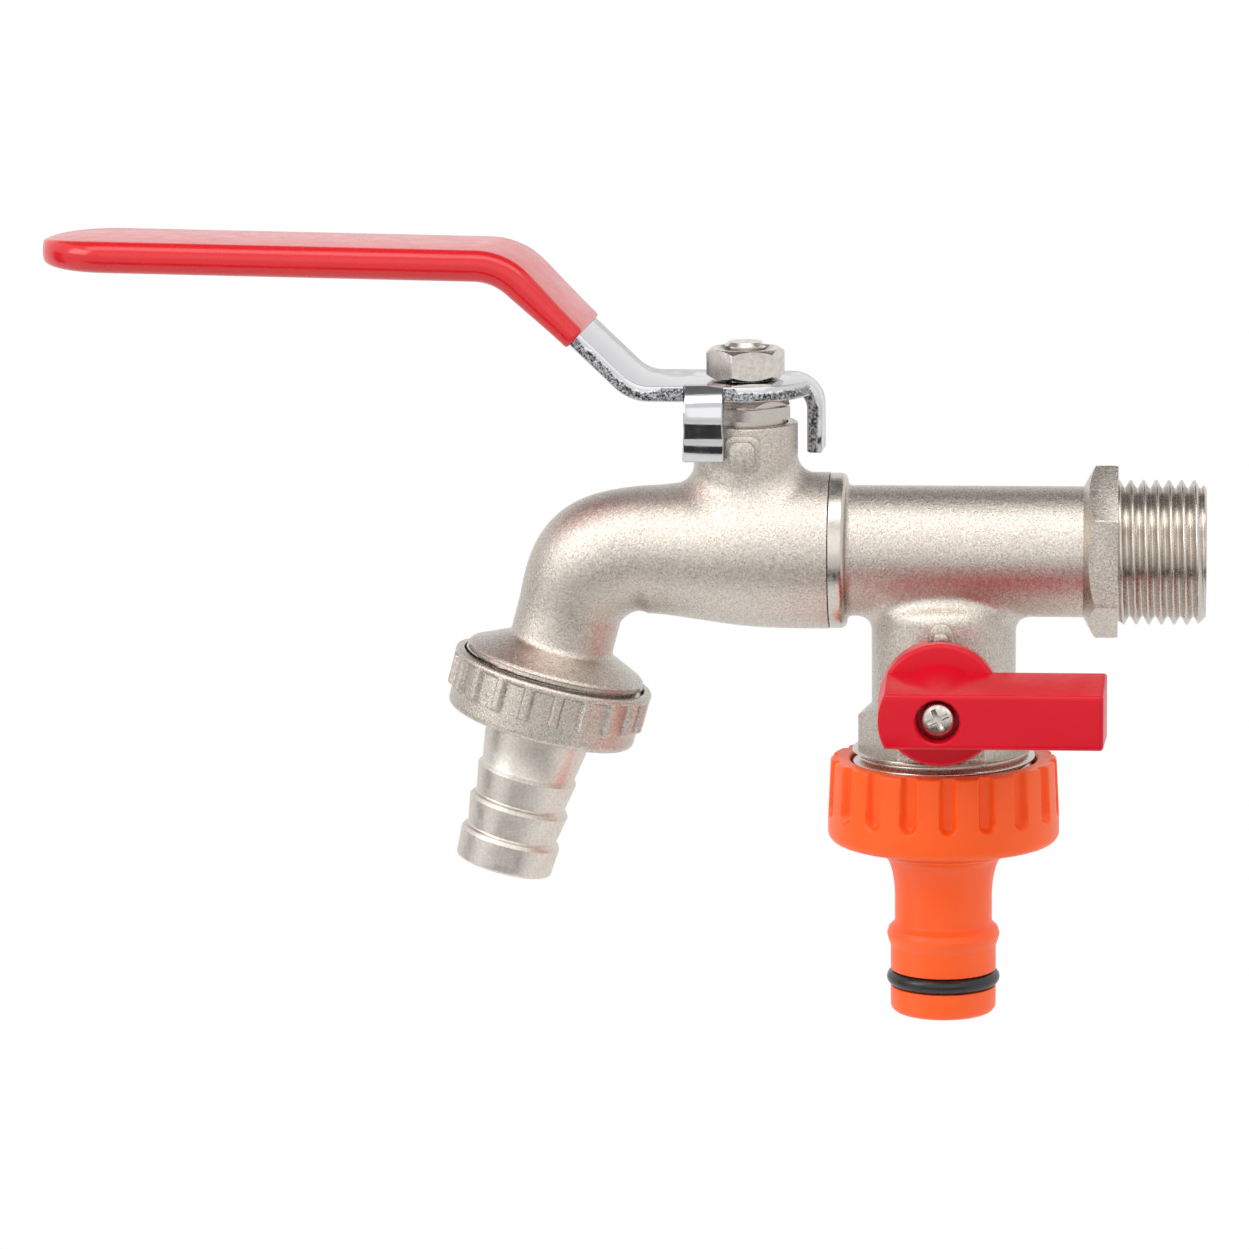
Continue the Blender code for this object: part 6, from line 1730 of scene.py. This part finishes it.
def make_union_nut():
    """The knurled nut: pockets between ridges round its upper part, over a smooth band."""
    mouth = TAIL_R + RUN_GAP
    profile = rounded([
        (UNION_BORE_R, -UNION_TOP), (UNION_R, -UNION_TOP, UNION_ROUND), (UNION_R, -UNION_LEDGE, UNION_EDGE),
        (UNION_BAND_R, -UNION_LEDGE - UNION_LEDGE_DROP, UNION_EDGE),
        (UNION_BAND_R, -UNION_FOOT, UNION_FOOT_R),
        (mouth, -UNION_FOOT, UNION_MOUTH_EDGE), (mouth, -UNION_LIP), (UNION_BORE_R, -UNION_LIP),
    ], closed=True)
    top, foot = -UNION_TOP - UNION_RIM, -UNION_LEDGE - UNION_RUNOUT
    made = pressed_nut("union_nut_look", profile, UNION_GRID, CAST, AT_OUTLET, radius=UNION_R,
                       count=UNION_RIDGES, turn=UNION_TURN - math.pi / 2 + math.pi / UNION_RIDGES,
                       half_width=math.pi * UNION_R / UNION_RIDGES * UNION_POCKET_SHARE,
                       middle=(top + foot) / 2, half_height=(top - foot) / 2, corner=UNION_ROUND,
                       softness=UNION_ROUND, depth=UNION_R - UNION_BAND_R)
    return dress(made, "tail_nut", None, "nickel", "union_nut", sharp=50)


def make_hose_tail():
    """The hose tail: a flange inside the nut, a plain neck and three barbs."""
    profile = [(TAIL_BORE_R, -TAIL_FLANGE_TOP), (TAIL_FLANGE_R, -TAIL_FLANGE_TOP),
               (TAIL_FLANGE_R, -TAIL_FLANGE_FOOT), (TAIL_R, -TAIL_FLANGE_FOOT), (TAIL_R, -TAIL_NECK_END),
               (TAIL_NECK_R, BARB_RAMP - TAIL_FIRST_BARB)]
    for i in range(TAIL_BARBS):
        crest = -TAIL_FIRST_BARB - i * TAIL_STEP
        profile += [(TAIL_BARB_R - BARB_DROP, crest + BARB_RISE, BARB_ROUND),
                    (TAIL_BARB_R, crest, BARB_EDGE)]
        if i < TAIL_BARBS - 1:
            profile.append((TAIL_WAIST_R, crest - TAIL_STEP + WAIST_RISE, WAIST_ROUND))
    profile += [(TAIL_TIP_R[0], -TAIL_END + TAIL_TIP_ROUND), (TAIL_TIP_R[1], -TAIL_END, TAIL_TIP_ROUND),
                (TAIL_BORE_R, -TAIL_END, TAIL_MOUTH_EDGE)]
    outline = rounded(profile, closed=True, steps=EDGE_STEPS)
    made = shape("hose_tail_look", turned(outline, FINE, closed=True), AT_OUTLET)
    return dress(made, "tail", TAIL_LOOK, "bright_nickel", "hose_tail", sharp=45)


# Adaptor

def make_adaptor_nut():
    """The orange nut, its flutes open at the top and round at the foot."""
    hollow = OUTLET_THREAD_R + ADAPTOR_FIT
    mouth = NOZZLE_SHOULDER_R + RUN_GAP
    profile = rounded([
        (hollow, ADAPTOR_TOP, ADAPTOR_EDGE), (ADAPTOR_R - ADAPTOR_TAPER, ADAPTOR_TOP, ADAPTOR_RIM_R),
        (ADAPTOR_R, FLUTE_FOOT - ADAPTOR_EDGE, ADAPTOR_BEND_R), (ADAPTOR_R, ADAPTOR_FOOT, ADAPTOR_FOOT_R),
        (mouth, ADAPTOR_FOOT, ADAPTOR_EDGE), (mouth, ADAPTOR_LIP), (hollow, ADAPTOR_LIP),
    ], closed=True, steps=ADAPTOR_STEPS)
    made = pressed_nut("adaptor_nut_look", profile, ADAPTOR_GRID, NUT_ORANGE, AT_BRANCH, radius=ADAPTOR_R,
                       count=ADAPTOR_FLUTES, turn=ADAPTOR_TURN - math.pi / 2, half_width=FLUTE_HALF,
                       middle=(FLUTE_TOP + FLUTE_FOOT) / 2, half_height=(FLUTE_TOP - FLUTE_FOOT) / 2,
                       corner=FLUTE_HALF, softness=FLUTE_SOFTNESS, depth=FLUTE_DEPTH)
    return dress(made, "nozzle_nut", None, "orange_nut", "adaptor_nut", sharp=60)


def make_adaptor_nozzle():
    """The push-on nozzle: flange, shoulder, waist, bead and a barrel with the ring's groove."""
    top, foot = NOZZLE_FLANGE
    shoulder_r = NOZZLE_SHOULDER_R - SHOULDER_EDGE
    profile = [(NOZZLE_BORE_R, top), (NOZZLE_FLANGE_R, top), (NOZZLE_FLANGE_R, foot),
               (NOZZLE_SHOULDER_R, foot)]
    edge = rounded([(NOZZLE_SHOULDER_R, foot - LEAD), (NOZZLE_SHOULDER_R, NOZZLE_SHOULDER, SHOULDER_ROUND),
                    (shoulder_r, NOZZLE_SHOULDER - SHOULDER_FALL[0])])
    profile += edge[1:-1]
    bell_top = NOZZLE_SHOULDER - SHOULDER_FALL[1]
    for t in quarter(BELL_STEPS):
        profile.append((NOZZLE_NECK_R + (shoulder_r - NOZZLE_NECK_R) * (1 - math.sin(t)),
                        bell_top - (NOZZLE_SHOULDER - NOZZLE_NECK) * (1 - math.cos(t))))
    gain = NOZZLE_BEAD_R - NOZZLE_NECK_R
    groove_r = RING_R - GROOVE_DEPTH
    groove_top, groove_foot = RING_Z + GROOVE_HALF, RING_Z - GROOVE_HALF
    profile += rounded([
        (NOZZLE_NECK_R, NOZZLE_NECK - LEAD), (NOZZLE_NECK_R, NOZZLE_BEAD + NOZZLE_BEAD_HALF, BEAD_FOOT_R),
        (NOZZLE_NECK_R + gain * BEAD_SHARE[0], NOZZLE_BEAD + BEAD_FLANK, BEAD_FOOT_R),
        (NOZZLE_BEAD_R, NOZZLE_BEAD, BEAD_CREST_R),
        (NOZZLE_NECK_R + gain * BEAD_SHARE[1], NOZZLE_BEAD - BEAD_FLANK, BEAD_FOOT_R),
        (NOZZLE_BARREL_R, NOZZLE_BEAD - NOZZLE_BEAD_HALF, BARREL_TOP_R),
        (NOZZLE_BARREL_R, groove_top, GROOVE_EDGE), (groove_r, groove_top), (groove_r, groove_foot),
        (NOZZLE_BARREL_R, groove_foot, GROOVE_EDGE), (NOZZLE_BARREL_R, NOZZLE_END, NOZZLE_END_R),
        (NOZZLE_BORE_R, NOZZLE_END, NOZZLE_MOUTH_EDGE), (NOZZLE_BORE_R, NOZZLE_END + 2 * LEAD),
    ], steps=EDGE_STEPS)
    made = shape("adaptor_nozzle_look", turned(profile, FINE, closed=True), AT_BRANCH)
    return dress(made, "nozzle", NOZZLE_ORANGE, "orange_plastic", "adaptor_nozzle", sharp=45)


def make_adaptor_o_ring():
    """The black ring in the nozzle's groove."""
    section = arc(RING_R - RING_WIRE_R, RING_Z, RING_WIRE_R, 90, -270, RING_SIDES)[:-1]
    made = shape("adaptor_o_ring_look", turned(section, FINE, closed=True), AT_BRANCH)
    return dress(made, "nozzle", RUBBER, "black_rubber", "adaptor_o_ring", sharp=60)


def paint_inner_pieces():
    """The CAD pieces inside the valves keep their shapes and take procedural finishes."""
    looks = {
        SEAL: ("seal_white", ["main_seat_inlet", "main_seat_outlet", "stem_thrust_washer", "stem_packing",
                              "branch_seat_upper", "branch_seat_lower"]),
        BRASS: ("plain_brass", ["branch_retainer", "branch_stem"]),
        BALL: ("polished_ball", ["main_ball", "branch_ball"]),
        RUBBER: ("black_rubber", ["branch_stem_o_ring", "hose_tail_washer", "adaptor_washer"]),
    }
    for material, (slot_name, names) in looks.items():
        for name in names:
            piece = frame["nodes"][name]
            piece.data.materials.clear()
            piece.data.materials.append(material)


# Studio

SENSOR = 36
PHOTO_WIDTH = 1249
FOCAL_PIXELS = 6200
LENS = FOCAL_PIXELS / PHOTO_WIDTH * SENSOR
CAMERA_AZIMUTH = math.radians(4.8)
CAMERA_ELEVATION = math.radians(10.3)
CAMERA_ROLL = math.radians(0.45)
CAMERA_PLACE = (0.00275, -0.88121, 0.1496)
CLIP = (0.05, 20)
ROOM_SHADE = 0.95
FLOOR_HEIGHT = -0.32
FLOOR_HALF = 6
STUDIO_MIDDLE = (-0.045, 0, -0.01)


def aimed(name, data, place, axis):
    """A light or sheet at place whose axis points at the middle of the tap."""
    made = in_scene(name, data)
    made.location = place
    made.rotation_euler = (Vector(STUDIO_MIDDLE) - Vector(place)).to_track_quat(axis, 'Y').to_euler()
    made.visible_camera = False
    return made


def sheet(name, half):
    """A flat square mesh of one face."""
    work = bmesh.new()
    bmesh.ops.create_grid(work, x_segments=1, y_segments=1, size=half)
    return mesh_from(name, work)


def make_camera():
    """A long lens near the front, turned and rolled as in the photo."""
    data = bpy.data.cameras.new("camera")
    data.sensor_width = SENSOR
    data.lens = LENS
    data.clip_start, data.clip_end = CLIP
    made = in_scene("camera", data)
    turn, rise = CAMERA_AZIMUTH, CAMERA_ELEVATION
    back = Vector((math.sin(turn) * math.cos(rise), -math.cos(turn) * math.cos(rise), math.sin(rise)))
    level = Vector((math.cos(turn), math.sin(turn), 0))
    raised = back.cross(level)
    right = level * math.cos(CAMERA_ROLL) - raised * math.sin(CAMERA_ROLL)
    up = level * math.sin(CAMERA_ROLL) + raised * math.cos(CAMERA_ROLL)
    place = Matrix((right, up, back)).transposed().to_4x4()
    place.translation = Vector(CAMERA_PLACE)
    made.matrix_world = place
    bpy.context.scene.camera = made


def softbox(name, place, width, height, power):
    """A rectangular lamp that the camera doesn't see."""
    data = bpy.data.lights.new(name, 'AREA')
    data.shape = 'RECTANGLE'
    data.size = width
    data.size_y = height
    data.energy = power
    aimed(name, data, place, '-Z')


def card(name, place, width, height, shade):
    """A flat card that only shows in reflections."""
    made = aimed(name, sheet(name, 0.5), place, 'Z')
    made.scale = (width, height, 1)
    made.data.materials.append(Paint(name, (shade, shade, shade), 0.0, 0.8).material)
    made.visible_shadow = False


def white_to_camera(tree, shader, out):
    """Let camera rays see pure white in place of a shader."""
    white = tree.nodes.new('ShaderNodeEmission')
    white.inputs["Color"].default_value = (1, 1, 1, 1)
    pick = tree.nodes.new('ShaderNodeMixShader')
    path = tree.nodes.new('ShaderNodeLightPath')
    tree.links.new(path.outputs["Is Camera Ray"], pick.inputs[0])
    tree.links.new(shader, pick.inputs[1])
    tree.links.new(white.outputs[0], pick.inputs[2])
    tree.links.new(pick.outputs[0], out.inputs[0])


def make_floor():
    """A pale floor that throws light up and looks pure white to the camera."""
    made = in_scene("floor", sheet("floor", FLOOR_HALF))
    made.location = (0, 0, FLOOR_HEIGHT)
    paint = Paint("floor", (0.9, 0.9, 0.9), 0.0, 0.8)
    white_to_camera(paint.tree, paint.shader.outputs[0], paint.tree.nodes["Material Output"])
    made.data.materials.append(paint.material)


def make_world():
    """A soft white room round the tap."""
    world = bpy.data.worlds.new("studio")
    bpy.context.scene.world = world
    world.use_nodes = True
    tree = world.node_tree
    tree.nodes.clear()
    room = tree.nodes.new('ShaderNodeBackground')
    room.inputs["Color"].default_value = (ROOM_SHADE, ROOM_SHADE, ROOM_SHADE, 1)
    white_to_camera(tree, room.outputs[0], tree.nodes.new('ShaderNodeOutputWorld'))


def make_studio():
    """Camera, room, floor, three lamps and three cards, in metres."""
    make_camera()
    make_world()
    make_floor()
    softbox("top_box", (-0.02, -0.24, 0.7), 1.0, 0.34, 2.3)
    softbox("front_box", (0.1, -1.0, 0.4), 1.3, 0.7, 1.4)
    card("top_card", (-0.08, 0.3, 0.6), 1.0, 0.62, 0.16)
    softbox("left_box", (-0.75, -0.45, 0.45), 0.5, 0.5, 2.6)
    card("front_card", (-0.03, -0.45, -0.25), 1.1, 0.19, 0.02)
    card("left_card", (-0.75, 0.05, -0.1), 0.25, 0.4, 0.05)
    bpy.context.scene.view_settings.view_transform = 'Standard'


make_inlet_casting()
make_inlet_thread()
make_branch_thread()
make_spout_casting()
make_outlet_thread()
make_gland_nut()
make_main_stem()
make_lever_nut()
make_lever_arm()
make_lever_sleeve()
make_branch_handle()
make_handle_screw()
make_union_nut()
make_hose_tail()
make_adaptor_nut()
make_adaptor_nozzle()
make_adaptor_o_ring()
paint_inner_pieces()
make_studio()
